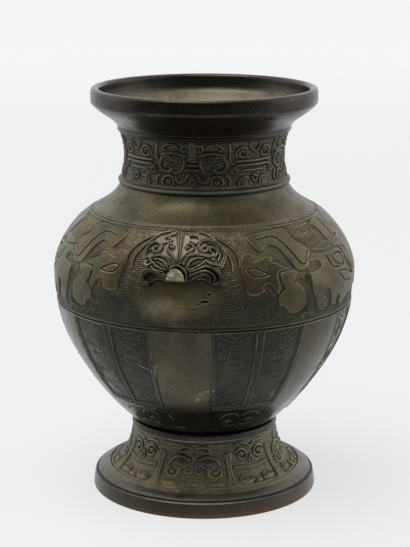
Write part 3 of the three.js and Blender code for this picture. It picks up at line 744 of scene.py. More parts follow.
# An ochre crust by the plinth and a few fresh chips.
for middle, half, level, reach in (
    (-12.5, 6.0, 18.6, 1.5), (29.5, 0.7, 35.5, 2.6), (38.0, 0.6, 33.6, 1.0), (14.0, 0.6, 38.5, 0.7),
    (-35.0, 1.0, 45.0, 0.8), (-39.0, 0.6, 32.4, 0.6),
):
    far = np.hypot((from_front(foot_degrees) - middle) / half, (foot_level - level) / reach)
    foot_worn = np.maximum(foot_worn, np.clip(1.5 - far, 0.0, 1.0))
foot_rest = [
    (FOOT_COLLAR_RADIUS - 0.9, FOOT_COLLAR_BOTTOM - 0.2), (FOOT_COLLAR_RADIUS - 0.3, FOOT_COLLAR_BOTTOM),
    (FOOT_COLLAR_RADIUS, FOOT_COLLAR_BOTTOM + 0.7), (FOOT_COLLAR_RADIUS, FOOT_COLLAR_BOTTOM + 1.2),
    (FOOT_COLLAR_RADIUS, FOOT_SEAT - 1.2), (FOOT_COLLAR_RADIUS - 0.2, FOOT_SEAT - 0.4),
    (FOOT_COLLAR_RADIUS - 0.8, FOOT_SEAT), (FLOOR_RADIUS + SEAM, FOOT_SEAT),
    (FLOOR_RADIUS + SEAM, FLOOR_LEDGE), (FLOOR_RADIUS - 5, FLOOR_LEDGE),
    (FLOOR_RADIUS - 5, FLOOR_LEDGE - 2.0), (51.0, 33.0), (57.0, 22.0), (63.0, 14.0),
    (FLARE_RADIUS - 0.2, 13.4), (FLARE_RADIUS, 14.0),
]
# The two rows at the foot of the collar get a painted highlight line in the pale colours.
foot = cast_piece(
    "foot_cast", foot_face, foot_heights, foot_rest, foot_degrees, foot_finish, cavity=foot_hollows,
    lift=crests(foot_heights), worn=foot_worn, tinted=np.zeros_like(foot_worn), rubbed_and_highlight=(1, 2),
)[0]
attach(foot, "root")
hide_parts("foot")


# Floor plate: a plain disc let into the foot under the bowl's tail, with a low register that
# centres the tail. It is seen only down through the neck and from under the foot.
FLOOR_BOTTOM = 41.8
FLOOR_TOP = 44.6
REGISTER_RADIUS = 47.0
REGISTER_TOP = 45.6
AXIS_RADIUS = 0.02
floor_finish = patina(
    "inner_patina", (0.026, 0.022, 0.015), (0.044, 0.038, 0.027), (0.036, 0.036, 0.026),
    (0.12, 0.09, 0.055), (0.16, 0.13, 0.09), gloss=0.5,
)
floor_plate = turned_piece("floor_plate_cast", eased([
    (AXIS_RADIUS, FLOOR_BOTTOM), (FLOOR_RADIUS, FLOOR_BOTTOM), (FLOOR_RADIUS, FLOOR_TOP),
    (REGISTER_RADIUS, FLOOR_TOP), (REGISTER_RADIUS, REGISTER_TOP), (AXIS_RADIUS, REGISTER_TOP),
]), floor_finish, 128)
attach(floor_plate, "root")
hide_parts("floor_plate")


# Lower bowl: the lower half of the body, cast in one. Six plain panels stand between six pairs of
# strips filled with cast arches and eyes, each pair split by a beaded rib.
BOWL_FOOT_RADIUS = 56.4
BOWL_MEAN_RADIUS = 96.0
BOWL_SPIGOT_RADIUS = 106.0
BELLY_SEAM = 145.2
BELLY_SEAM_RADIUS = 108.9
PAIRS = 6
PAIR_HALF = 19.5
FINE_HALF = PAIR_HALF + 1.0
STRIP_MIDDLE = 9.6
BEAD_GAP = 2.3


def narrowed(points):
    """The strips narrow a little towards the foot."""
    return [(d * (0.90 + 0.10 * (z - 85.0) / 60.0), z) for d, z in points]


def arch(middle, level, half, rise, low=0.0):
    turn = np.linspace(math.pi, 0.0, 9)
    points = [(middle + half * math.cos(t), level + rise * math.sin(t)) for t in turn]
    if low:
        points = [(middle - half, level - low)] + points + [(middle + half, level - low)]
    return points


def ring(middle, level, half, rise):
    turn = np.linspace(0.0, 2 * math.pi, 17)
    return [(middle + half * math.cos(t), level + rise * math.sin(t)) for t in turn]


def strip_relief(wall, way):
    """One strip of a pair; way is -1 for the left one and 1 for the right one."""
    middle = way * STRIP_MIDDLE

    def draw(points, width, rise=0.42):
        wall.stroke(narrowed(points), 1.25 * width, rise)
        wall.stroke(narrowed(points), 0.5 * width, -0.8 * rise)

    def festoon(half, level, inner):
        between = (level + inner) / 2
        draw([(middle - half, level), (middle - 0.75 * half, between), (middle, inner),
              (middle + 0.75 * half, between), (middle + half, level)], 1.3)

    low, high = 82.5, 143.2
    wall.plate(narrowed([
        (way * 1.9, low), (way * 17.6, low), (way * 17.6, high), (way * 1.9, high),
    ]), -0.62, 0.9, curved=False)
    festoon(6.2, 143.0, 137.0)
    festoon(3.0, 143.0, 140.2)
    for side in (-1, 1):
        draw(spiral((middle + side * 5.2, 135.4), 1.5, 0.4, 1.1, 90.0, 1.6), 0.9)
    for half, rise in ((6.0, 8.4), (4.4, 6.2), (2.7, 3.9)):
        draw(arch(middle, 125.6, half, rise, 1.2), 1.2)
    draw(ring(middle, 119.4, 3.6, 3.5), 1.4)
    draw([(middle - 1.7, 119.5), (middle + 1.7, 119.5)], 1.5, -0.45)
    for half, rise, drop in ((6.4, 9.0, 8.0), (5.0, 7.2, 5.0)):
        draw(arch(middle, 105.2, half, rise, drop), 1.2)
    draw(ring(middle, 106.6, 3.3, 4.0), 1.2)
    draw(ring(middle, 106.6, 1.8, 2.1), 1.1)
    for drop in (0.0, 3.2):
        draw([(middle - 6.6, 98.0 - drop), (middle, 94.0 - drop), (middle + 6.6, 98.0 - drop)], 1.2)
    for half, rise in ((5.6, 5.6), (3.6, 3.6), (1.8, 1.8)):
        draw(arch(middle, 83.8, half, rise), 1.1)


def bowl_relief(wall):
    for way in (-1, 1):
        strip_relief(wall, way)
        for across, low, high, width, rise in (
            (18.9, 80.6, 144.0, 0.8, 0.4), (20.0, 79.2, 144.0, 0.9, -0.3), (1.35, 82.0, 143.5, 0.9, 0.5),
        ):
            wall.stroke(narrowed([(way * across, low), (way * across, high)]), width, rise, curved=False)
        wall.stroke([(way * 2.0, 63.5), (way * 6.0, 62.2), (way * 9.0, 65.0), (way * 7.0, 68.4),
                     (way * 4.4, 66.8)], 1.3, 0.45)
        wall.stroke([(way * 1.2, 71.5), (way * 4.0, 74.6), (way * 9.0, 74.0), (way * 12.0, 70.6)], 1.2, 0.4)
    for level in (81.6, 79.4):
        wall.stroke(narrowed([(-18.9, level), (18.9, level)]), 1.0, 0.5, curved=False)
    wall.stroke([(-30.0, 144.35), (30.0, 144.35)], 1.2, 0.4, curved=False)
    for bead in range(int((142.5 - 84.0) / BEAD_GAP)):
        wall.dome((0.0, 84.5 + bead * BEAD_GAP), (0.55, 0.85), -0.3, 0.45)


bowl_line = sweep((BOWL_FOOT_RADIUS, FOOT_SEAT + 3.6), 43, (BELLY_SEAM_RADIUS, BELLY_SEAM - SEAM), 81)
bowl_up = np.linspace(0.0, arc_along(bowl_line)[-1], 200)
bowl_face = resampled(bowl_line, bowl_up)
bowl_sixth = np.concatenate([
    np.linspace(-FINE_HALF, FINE_HALF, 144), np.linspace(FINE_HALF, 60.0 - FINE_HALF, 16)[1:-1],
])
bowl_wall = Wall(bowl_line, bowl_up, bowl_sixth, BOWL_MEAN_RADIUS)
bowl_relief(bowl_wall)
bowl_degrees = np.concatenate([bowl_sixth + 30.0 + 60.0 * k for k in range(PAIRS)])
bowl_heights = np.hstack([bowl_wall.height] * PAIRS)
bowl_heights += ripple(bowl_degrees, bowl_up, seed=11, size=40.0, strength=0.35) - 0.18
bowl_finish = patina(
    "bowl_patina", (0.052, 0.046, 0.026), (0.088, 0.078, 0.046), (0.009, 0.009, 0.005),
    (0.21, 0.195, 0.13), (0.52, 0.50, 0.40), gloss=0.22, rub_and_highlight=0.42, wax=0.03, patchy=0.3,
)
# The scratches and chips that handling left on the bowl. Their directions run past 360 degrees, so
# each one is drawn a turn back as well.
bowl_marks = Wall(bowl_line, bowl_up, bowl_degrees, BOWL_MEAN_RADIUS)
for path, width in (
    ([(365.5, 88.3), (366.2, 92.4), (369.0, 96.7), (371.2, 97.8), (373.5, 97.6)], 0.9),
    ([(317.0, 76.4), (326.0, 76.8), (335.0, 77.2), (342.0, 76.8), (348.0, 75.6)], 0.8),
    ([(349.0, 116.9), (348.4, 112.0), (348.0, 107.3)], 0.8),
    ([(341.5, 115.4), (344.0, 114.0), (347.5, 111.6)], 0.7),
    ([(348.5, 73.0), (350.0, 68.0)], 0.9), ([(336.0, 62.0), (344.0, 60.4), (356.0, 60.2)], 0.5),
    ([(383.0, 66.0), (384.0, 66.4)], 1.3), ([(411.0, 92.0), (413.0, 93.0)], 0.9),
):
    for turn in (0.0, 360.0):
        bowl_marks.stroke([(d - turn, z) for d, z in path], 0.9 * width, 0.9, 0.5)
bowl_worn = np.clip(bowl_marks.height, 0.0, 1.0)
# The strips are darker than the panels, and so is the tail of the bowl under them.
from_pair = np.abs(bowl_degrees % 60.0 - 30.0)
bowl_tinted = np.maximum(
    0.95 * np.clip((PAIR_HALF - from_pair) / 1.5, 0.0, 1.0),
    0.9 * np.clip((86.0 - bowl_face[:, 1:]) / 12.0, 0.0, 1.0),
)
bowl_rest = [
    (BELLY_SEAM_RADIUS - 0.8, BELLY_SEAM - SEAM), (BOWL_SPIGOT_RADIUS, BELLY_SEAM - SEAM),
    (BOWL_SPIGOT_RADIUS, BELLY_SEAM + 8.0), (BOWL_SPIGOT_RADIUS - 2.2, BELLY_SEAM + 8.0),
    (BOWL_SPIGOT_RADIUS - 2.2, BELLY_SEAM - 1.0), (100.8, 127.0), (94.4, 112.0), (81.3, 90.0),
    (65.2, 70.0), (50.0, 57.2), (47.3, 57.2), (47.3, 44.9), (50.5, 44.9), (50.5, 52.9), (52.3, 52.9),
    (52.3, 54.0), (55.4, 55.4),
]
# Painted shade darkens the hollows of the relief, and its crests get rubbed metal and painted highlight.
bowl_parts = cast_piece(
    "lower_bowl_cast", bowl_face, bowl_heights, bowl_rest, bowl_degrees, bowl_finish, sectors=3,
    cavity=hollows(bowl_heights), lift=crests(bowl_heights, 3, 0.18), worn=bowl_worn, tinted=bowl_tinted,
)
for part in bowl_parts:
    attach(part, "root")
    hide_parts("lower_bowl")


# Shoulder: the upper half of the body, in one casting down to the belly fillets. Its frieze holds two
# large beast faces whose plates stand out of a ground of squared spirals.
BELLY_RADIUS = 111.0
BELLY_LEVEL = 168.0
FRIEZE_TOP = 211.7
FRIEZE_TOP_RADIUS = 83.2
FRIEZE_END = FRIEZE_TOP + 1.9
NECK_SEAT = 231.5
SHOULDER_TOP_RADIUS = 62.1
SHOULDER_MEAN_RADIUS = 107.0
CELLS_ROUND = 25
CELLS_UP = 11
FRIEZE_ROWS = CELLS_UP * CELL + 1
GROUND_ROWS = int(0.985 * FRIEZE_ROWS)
GROUND_PITCH = 1.4


def woven_ground(wall, depth):
    """Lays the ground round the plates: three lines that follow their edges, and squared spirals
    beyond them. The spirals bend a little, and all the lines are worn down in places."""
    rows, cols = wall.height.shape
    degrees = wall.x[0] / wall.per_degree
    step = wall.x[0, 1] - wall.x[0, 0]
    row = np.arange(rows)[:, None] + CELL + ripple(degrees, wall.up, 21, 34.0, 5.5) / step
    col = np.arange(cols)[None, :] + CELL + ripple(degrees, wall.up, 22, 30.0, 5.5) / step
    spirals = thunder_ground(rows + 2 * CELL + 2, cols + 2 * CELL + 2, 0.0, 1.0)
    r, c = np.floor(row).astype(int), np.floor(col).astype(int)
    near_row = spirals[r, c] * (1 + c - col) + spirals[r, c + 1] * (col - c)
    far_row = spirals[r + 1, c] * (1 + c - col) + spirals[r + 1, c + 1] * (col - c)
    woven = near_row * (1 + r - row) + far_row * (row - r)
    following = 0.5 - 0.5 * np.cos(2 * math.pi * wall.margin / GROUND_PITCH)
    woven = np.where(wall.margin < 3 * GROUND_PITCH, following, woven)
    left = np.clip(0.72 + ripple(degrees, wall.up, 23, 26.0, 2.6), 0.3, 1.0)
    wall.height[:GROUND_ROWS] += (depth * (woven - 0.5) * left * (1 - wall.cover))[:GROUND_ROWS]


def quarter_mirrored(field):
    """Four copies of a 90 degree field round the vase, each second one mirrored."""
    there = field[:, :-1]
    back = field[:, :0:-1]
    return np.hstack([there, back, there, back])


def beast_relief(wall):
    """Half of one beast face, from the middle of the front to the side. Places were taken off the
    vase in degrees from the front mask and millimetres above the ground."""
    wall.height[:GROUND_ROWS] = -0.8
    for path, width in (
        ([(7.1, 210.2), (8.9, 209.8), (11.7, 208.1), (15.8, 202.7), (18.3, 197.2), (19.6, 191.8),
          (19.4, 187.2)], 2.2),
        ([(10.6, 209.4), (13.6, 207.4), (17.8, 204.0), (20.7, 200.0), (22.4, 194.6), (22.3, 189.0)], 1.5),
    ):
        wall.band(path, width, 0.05, 0.8)
        wall.stroke(path, 1.3, 0.35, 0.8)
    wall.plate([(27.1, 206.2), (28.2, 207.7), (30.5, 208.7), (34.6, 209.2), (41.0, 209.7), (46.4, 209.8),
                (48.8, 208.3), (49.3, 204.3), (50.9, 201.0), (53.0, 198.9), (54.8, 196.4), (55.3, 194.2),
                (54.8, 191.0), (53.2, 188.5), (52.1, 185.0), (50.2, 183.3), (47.9, 183.3), (45.6, 184.5),
                (44.3, 187.7), (42.9, 191.8), (41.3, 196.4), (39.4, 199.8), (37.4, 201.0), (34.8, 200.6),
                (33.5, 199.1), (31.4, 198.1), (29.6, 200.2)])
    wall.stroke([(32.1, 205.0), (34.6, 205.5), (37.4, 206.1), (40.6, 205.4), (42.9, 202.2), (44.7, 198.3),
                 (46.2, 193.9), (47.6, 190.0), (48.8, 187.4), (50.1, 186.5), (51.4, 187.7), (52.4, 190.6),
                 (54.1, 193.7)], 1.5, -0.75)
    wall.plate([(22.7, 187.2), (23.0, 191.8), (23.5, 195.2), (24.5, 196.8), (26.6, 197.5), (27.7, 196.7),
                (28.4, 195.3), (27.2, 193.7), (26.9, 192.3), (28.6, 192.0), (30.9, 193.3), (33.7, 194.5),
                (35.6, 194.2), (36.0, 192.7), (35.3, 190.6), (36.7, 190.3), (38.5, 188.9), (40.1, 187.2),
                (41.7, 185.8), (40.6, 185.0), (38.7, 184.7), (37.6, 183.7), (37.0, 181.8), (37.0, 179.3),
                (37.4, 176.0), (37.1, 172.7), (36.4, 169.3), (35.3, 172.7), (33.9, 176.0), (32.8, 177.2),
                (31.4, 176.8), (30.7, 174.8), (30.9, 172.7), (29.8, 171.4), (28.2, 170.3), (25.4, 170.6),
                (24.1, 172.7), (23.7, 177.7), (23.2, 182.7)])
    wall.stroke([(25.0, 187.2), (27.3, 188.2), (29.6, 187.0), (31.9, 184.9), (33.1, 183.1), (30.5, 182.5),
                 (28.2, 182.5), (26.3, 183.9), (25.0, 187.2)], 1.3, -0.8)
    wall.dome((28.8, 185.0), (1.5, 1.5), -0.25, 0.35)
    wall.stroke([(34.6, 171.0), (33.2, 174.0), (31.6, 173.0), (32.4, 171.2)], 1.1, -0.5)
    wall.plate([(38.7, 183.3), (41.0, 184.0), (44.3, 183.7), (45.6, 182.7), (44.5, 179.3), (42.9, 176.8),
                (41.7, 174.3), (43.8, 175.5), (45.6, 173.9), (47.4, 170.0), (48.2, 164.8), (48.3, 159.3),
                (47.2, 156.7), (45.2, 154.8), (42.6, 154.3), (40.8, 155.3), (39.6, 158.5), (38.7, 160.3),
                (37.1, 161.4), (36.5, 164.3), (36.4, 167.7), (38.3, 170.6), (39.2, 172.7), (38.3, 176.8),
                (37.9, 180.2)])
    wall.plate([(51.6, 180.2), (54.1, 180.6), (58.0, 182.0), (58.7, 184.3), (57.6, 186.8), (54.8, 187.7),
                (53.0, 186.8), (54.4, 190.2), (57.6, 191.8), (63.1, 190.6), (68.6, 190.0), (74.6, 190.2),
                (77.1, 188.3), (78.3, 183.9), (77.8, 180.2), (80.5, 172.7), (82.4, 169.3), (91.0, 166.0),
                (91.0, 158.5), (84.9, 158.5), (80.5, 157.2), (76.9, 155.6), (74.6, 153.5), (72.3, 151.7),
                (70.0, 151.4), (69.4, 154.3), (69.7, 157.7), (68.6, 159.3), (67.2, 158.1), (66.8, 153.5),
                (64.7, 152.8), (63.5, 153.9), (63.2, 158.5), (62.7, 162.7), (61.7, 166.4), (60.1, 166.8),
                (58.5, 166.0), (58.1, 162.7), (59.6, 160.6), (60.6, 157.7), (60.1, 154.3), (58.5, 152.2),
                (56.7, 152.2), (55.3, 154.3), (54.4, 157.7), (53.3, 162.7), (52.3, 166.8), (51.6, 171.0),
                (51.4, 176.0)])
    wall.plate([(57.1, 194.2), (58.7, 195.2), (61.7, 196.2), (66.3, 197.2), (70.0, 197.0), (71.4, 195.2),
                (70.7, 193.1), (68.1, 192.0), (64.0, 191.8), (60.3, 192.5)])
    wall.plate([(69.7, 209.8), (91.0, 209.8), (91.0, 169.3), (84.2, 169.3), (81.4, 176.8), (79.8, 182.7),
                (79.1, 187.7), (77.3, 191.0), (73.2, 192.2), (71.9, 195.2), (70.4, 198.1), (69.6, 202.7)])
    for path in (
        [(77.3, 209.8), (77.3, 203.5), (78.0, 199.3), (79.4, 197.3), (82.4, 198.2)],
        [(80.3, 190.0), (82.4, 188.5), (83.2, 184.3), (82.9, 179.3), (83.7, 174.3), (84.9, 172.5)],
        [(64.2, 187.7), (64.7, 183.9), (65.8, 180.6), (67.7, 179.2), (70.4, 178.8)],
        [(69.0, 186.8), (68.6, 183.9), (69.7, 181.4), (71.8, 179.8), (74.6, 178.8), (75.9, 180.2),
         (75.9, 183.5), (75.5, 186.4)],
        [(69.0, 186.8), (72.3, 187.9), (75.5, 186.7)],
        [(69.0, 175.6), (71.8, 175.3), (75.5, 174.3), (78.7, 171.8), (82.4, 170.2)],
        [(69.0, 175.6), (70.4, 172.7), (72.5, 169.2), (75.0, 166.7), (79.6, 166.0)],
    ):
        wall.stroke(path, 2.0, -0.85)
    for level in (211.1, 212.6):
        wall.band([(-1.0, level), (91.0, level)], 0.9, 0.0, edge=0.4)
    woven_ground(wall, depth=0.70)
    wall.band([(-1.0, 146.2), (91.0, 146.2)], 1.0, 0.05, edge=0.5)
    wall.band([(-1.0, 147.8), (91.0, 147.8)], 0.9, -0.9, edge=0.4)


shoulder_line = joined(
    sweep((BELLY_SEAM_RADIUS, BELLY_SEAM + SEAM), 80, (BELLY_RADIUS, BELLY_LEVEL), 90),
    sweep((BELLY_RADIUS, BELLY_LEVEL), 90, (FRIEZE_TOP_RADIUS, FRIEZE_TOP), 152, (0.26, 0.31)),
    sweep((FRIEZE_TOP_RADIUS, FRIEZE_TOP), 152, (SHOULDER_TOP_RADIUS, NECK_SEAT - 2.0), 115),
)
shoulder_arc = arc_along(shoulder_line)
frieze_end = np.interp(FRIEZE_END, shoulder_line[:, 1], shoulder_arc)
shoulder_up = np.concatenate([
    np.linspace(0.0, frieze_end, FRIEZE_ROWS), np.linspace(frieze_end, shoulder_arc[-1], 14)[1:],
])
shoulder_face = resampled(shoulder_line, shoulder_up)
shoulder_level = shoulder_face[:, 1:]
quarter_degrees = np.linspace(0.0, 90.0, CELLS_ROUND * CELL + 1)
shoulder_wall = Wall(shoulder_line, shoulder_up, quarter_degrees, SHOULDER_MEAN_RADIUS)
beast_relief(shoulder_wall)
shoulder_heights = quarter_mirrored(shoulder_wall.height)
shoulder_degrees = np.arange(shoulder_heights.shape[1]) * 360.0 / shoulder_heights.shape[1]
shoulder_turn = from_front(shoulder_degrees)


def patch(middle, half, level_middle, level_half, soft=0.35):
    """A soft-edged patch on the shoulder, in degrees and levels, from 0 to 1."""
    far = np.hypot((shoulder_turn - middle) / half, (shoulder_level - level_middle) / level_half)
    return np.clip((1 + soft - far) / (2 * soft), 0.0, 1.0)


# The wall under the lost loop was dressed smooth, and it is cracked with a small hole through it.
smoothed = patch(-1.5, 13.0, 169.0, 12.5)
shoulder_heights = shoulder_heights * (1 - smoothed) + (0.12 * shoulder_heights - 0.45) * smoothed
shoulder_heights += ripple(shoulder_degrees, shoulder_up, seed=7, size=36.0, strength=0.30) - 0.15
hole = np.maximum(patch(9.0, 1.2, 166.9, 0.7, 0.5), patch(7.0, 0.5, 165.4, 0.4, 0.5))
hole = np.maximum(hole, patch(10.6, 0.45, 172.2, 0.6, 0.5))
crack = np.maximum(patch(1.4, 1.5, 162.7, 0.35, 0.8), patch(4.4, 1.7, 162.0, 0.3, 0.8))
shoulder_heights -= 3.0 * hole + 0.4 * crack
shoulder_finish = patina(
    "brown_patina", (0.090, 0.066, 0.026), (0.108, 0.098, 0.046), (0.020, 0.022, 0.013),
    (0.27, 0.235, 0.155), (0.30, 0.26, 0.16), gloss=0.38, rub_and_highlight=0.85, wax=0.05,
)
# Dust in the old dressing under the mask, and two pale scuffs higher up.
shoulder_worn = 0.6 * patch(-6.5, 6.5, 160.0, 6.5, 0.7) + 0.2 * patch(4.0, 12.0, 169.0, 9.0, 0.7)
shoulder_worn += 0.9 * patch(74.5, 3.4, 217.8, 0.35, 0.6) + 0.5 * patch(42.0, 1.2, 216.0, 0.3, 0.6)
# The frieze darkens downwards, and low down the ground between the plates is greener than they are
# and gets less of the bare colour on its crests, rubbed metal and painted highlight alike.
shoulder_low = np.clip((190.0 - shoulder_level) / 26.0, 0.0, 1.0)
shoulder_tinted = shoulder_low * (1 - 0.55 * quarter_mirrored(shoulder_wall.cover)) * (1 - smoothed)
shoulder_rest = [
    (SHOULDER_TOP_RADIUS - 0.6, NECK_SEAT - 1.4), (SHOULDER_TOP_RADIUS - 0.4, NECK_SEAT - 0.9),
    (SHOULDER_TOP_RADIUS, NECK_SEAT - 0.4), (SHOULDER_TOP_RADIUS - 0.6, NECK_SEAT),
    (56.2, NECK_SEAT), (56.2, NECK_SEAT + 6.5), (54.0, NECK_SEAT + 6.5), (54.0, 228.5),
    (61.0, 222.0), (72.0, 211.0), (85.0, 205.0), (97.0, 192.5), (104.0, 181.0),
    (107.4, 168.0), (106.6, 155.5), (106.3, 153.5), (106.3, BELLY_SEAM + SEAM),
    (BELLY_SEAM_RADIUS - 0.6, BELLY_SEAM + SEAM),
]
# Painted shade darkens the hollows of the relief and the hole through the wall.
shoulder_parts = cast_piece(
    "shoulder_cast", shoulder_face, shoulder_heights, shoulder_rest, shoulder_degrees, shoulder_finish,
    sectors=4, cavity=np.maximum(hollows(shoulder_heights, 4, 0.35), 2.0 * hole),
    lift=crests(shoulder_heights) * (1 - 0.45 * shoulder_tinted),
    worn=np.minimum(shoulder_worn, 1.0), tinted=shoulder_tinted,
)
for part in shoulder_parts:
    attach(part, "root")
    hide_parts("shoulder")


# Neck collar: the waisted neck, cast with a frieze of small beast faces in low relief, four round.
# A ring at its foot covers the joint with the shoulder.
NECK_WAIST_RADIUS = 58.5
NECK_MEAN_RADIUS = 60.0
NECK_TOP_RADIUS = 62.3
NECK_RING_RADIUS = 62.9
NECK_RING_HEIGHT = 2.8
MOUTH_SEAT = 269.0
NECK_MIDDLE = (NECK_SEAT + MOUTH_SEAT) / 2


def neck_relief(wall):
    """Half of one neck face, from its nose to halfway to the next."""
    rows, cols = wall.height.shape
    wall.height[:] = thunder_ground(rows, cols, low=-1.1, high=-0.7)
    wall.band([(-1.0, 251.6), (3.4, 251.6)], 2.0, 0.1)
    wall.band([(-1.0, 248.2), (3.6, 248.2)], 2.2, 0.1)
    wall.plate([(-2.0, 267.4), (1.6, 267.2), (2.6, 262.0), (1.8, 257.4), (3.0, 254.2), (-3.0, 254.2)], -0.1)
    wall.band([(3.0, 265.8), (6.0, 265.6), (7.4, 262.8), (5.6, 260.8), (4.2, 262.4)], 1.7, 0.0, 0.7)
    wall.band([(4.8, 258.2), (10.0, 259.8), (16.0, 259.8), (22.0, 258.4)], 2.0, 0.05, 0.8)
    wall.band([(9.0, 263.0), (12.0, 265.8), (17.0, 266.0), (20.6, 263.6), (18.4, 261.6)], 1.8, 0.0, 0.7)
    wall.plate([(7.8, 254.6), (10.4, 257.0), (14.4, 256.8), (16.4, 254.4), (13.4, 252.4), (9.8, 252.6)],
               -0.15)
    wall.stroke([(9.2, 254.7), (12.2, 256.0), (15.0, 254.5), (12.2, 253.5), (9.2, 254.7)], 0.8, -0.6)
    wall.band([(16.4, 257.0), (20.6, 257.0), (23.6, 254.0), (23.6, 250.0), (20.6, 247.2), (16.6, 246.6),
               (14.8, 248.8)], 2.3, 0.05, 0.75)
    wall.band([(14.6, 251.2), (18.0, 252.6), (19.8, 250.6)], 1.5, -0.05, 0.8)
    wall.band([(5.4, 254.6), (6.2, 250.6), (8.4, 247.0), (11.6, 245.8)], 1.7, -0.05, 0.8)
    wall.band([(2.6, 245.4), (4.8, 241.8), (7.8, 239.6), (10.6, 240.8), (11.4, 243.6)], 2.1, 0.05, 0.75)
    wall.band([(12.8, 238.2), (13.0, 242.0), (16.2, 244.0), (19.6, 243.0), (21.2, 239.8), (20.2, 237.6)],
              1.7, 0.0)
    wall.dome((16.6, 239.8), (2.0, 1.8), -0.4, 0.5)
    wall.band([(0.0, 244.0), (1.4, 240.0), (0.0, 237.2)], 1.6, 0.0)
    wall.band([(25.0, 266.4), (26.2, 260.6), (25.6, 254.4)], 1.7, 0.0, 0.7)
    wall.band([(23.6, 244.4), (25.8, 241.2), (25.2, 237.2)], 1.7, 0.0, 0.7)
    wall.band(spiral((35.4, 259.4), 4.9, 1.3, 1.6, 200.0, 0.98, -1), 1.6, 0.0, 0.8)
    wall.band([(40.8, 266.4), (41.8, 262.6), (46.0, 259.6)], 1.7, 0.0, 0.8)
    wall.band([(29.8, 253.8), (46.0, 253.6)], 1.7, 0.05)
    wall.band([(31.2, 250.8), (46.0, 250.6)], 1.7, 0.05)
    wall.band(spiral((29.4, 247.2), 2.9, 0.8, 1.3, 60.0, 0.95, 1), 1.3, 0.0)
    wall.plate([(31.4, 236.8), (32.0, 240.6), (35.0, 243.0), (38.6, 242.8), (41.2, 240.4), (41.6, 236.8)],
               -0.2)
    wall.stroke([(32.8, 236.8), (34.2, 240.4), (36.6, 241.2), (39.0, 240.2), (40.2, 236.8)], 0.8, -0.4)
    wall.band(spiral((45.0, 241.2), 2.9, 1.0, 1.0, 0.0, 1.0, 1), 1.4, 0.0)
    wall.band([(35.0, 246.8), (40.0, 247.2), (46.0, 246.8)], 1.4, -0.1)


neck_waist = (NECK_WAIST_RADIUS, NECK_MIDDLE)
neck_line = joined(
    sweep((NECK_RING_RADIUS - 1.6, NECK_SEAT + NECK_RING_HEIGHT + 0.8), 110, neck_waist, 90),
    sweep(neck_waist, 90, (NECK_TOP_RADIUS - 0.9, MOUTH_SEAT - 1.2), 70),
)
neck_up = np.linspace(0.0, arc_along(neck_line)[-1], 76)
neck_wall = Wall(neck_line, neck_up, np.linspace(0.0, 45.0, 107), NECK_MEAN_RADIUS)
neck_relief(neck_wall)
neck_heights, neck_degrees = four_round(neck_wall.height, boldness=1.35, first=0.6)
neck_heights += ripple(neck_degrees, neck_up, seed=3, size=20.0, strength=0.2) - 0.1
neck_finish = patina(
    "neck_patina", (0.036, 0.031, 0.020), (0.062, 0.054, 0.035), (0.036, 0.036, 0.026),
    (0.28, 0.24, 0.16), (0.22, 0.19, 0.13), gloss=0.42, rub_and_highlight=0.45, wax=0.06,
)
neck_rest = [
    (61.4, 267.9), (61.9, 268.2), (NECK_TOP_RADIUS, 268.6), (NECK_TOP_RADIUS, MOUTH_SEAT),
    (59.7, MOUTH_SEAT), (59.7, 276.0), (57.5, 276.0), (56.9, 268.0), (54.9, 254.0), (54.9, 238.3),
    (56.5, 238.3), (56.5, 231.8), (62.3, 231.8), (62.8, 232.2), (NECK_RING_RADIUS, 233.0),
    (62.7, 233.8), (61.9, 234.3), (61.3, 234.5),
]
# Painted shade darkens the hollows; the ring and the band just above it get a painted highlight line.
neck = cast_piece(
    "neck_collar_cast", resampled(neck_line, neck_up), neck_heights, neck_rest, neck_degrees, neck_finish,
    cavity=hollows(neck_heights, 3, 0.24), lift=crests(neck_heights),
    worn=0.5 * (neck_up[:, None] < 2.0) * np.ones_like(neck_heights), rubbed_and_highlight=(12, 13, 14, 15),
)[0]
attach(neck, "root")
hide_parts("neck_collar")


# Mouth rim: the bead, the plain flare and the upright band with its rounded lip, cast and turned in
# one. The inside of the flare is pale with dust.
TOP = 300.0
RIM_RADIUS = 82.4
RIM_WALL = 6.2
RIM_BOTTOM = TOP - 10.9
RIM_INNER = RIM_RADIUS - RIM_WALL
LIP_ROUND = 2.6
LIP_BOTTOM = TOP - LIP_ROUND
BEAD_RADIUS = 63.5
MOUTH_SPIGOT = 60.0
MOUTH_WALL = 4.4


def mouth_dust(r, z, a):
    """The inside of the flare takes the dust colour, most low down and fading out upwards."""
    inner = (r < 77.5) * (z - 0.95 * r > 214.5)
    return inner * np.interp(z, (277.5, 282.0, 287.0, 290.5), (1.0, 0.72, 0.42, 0.06))


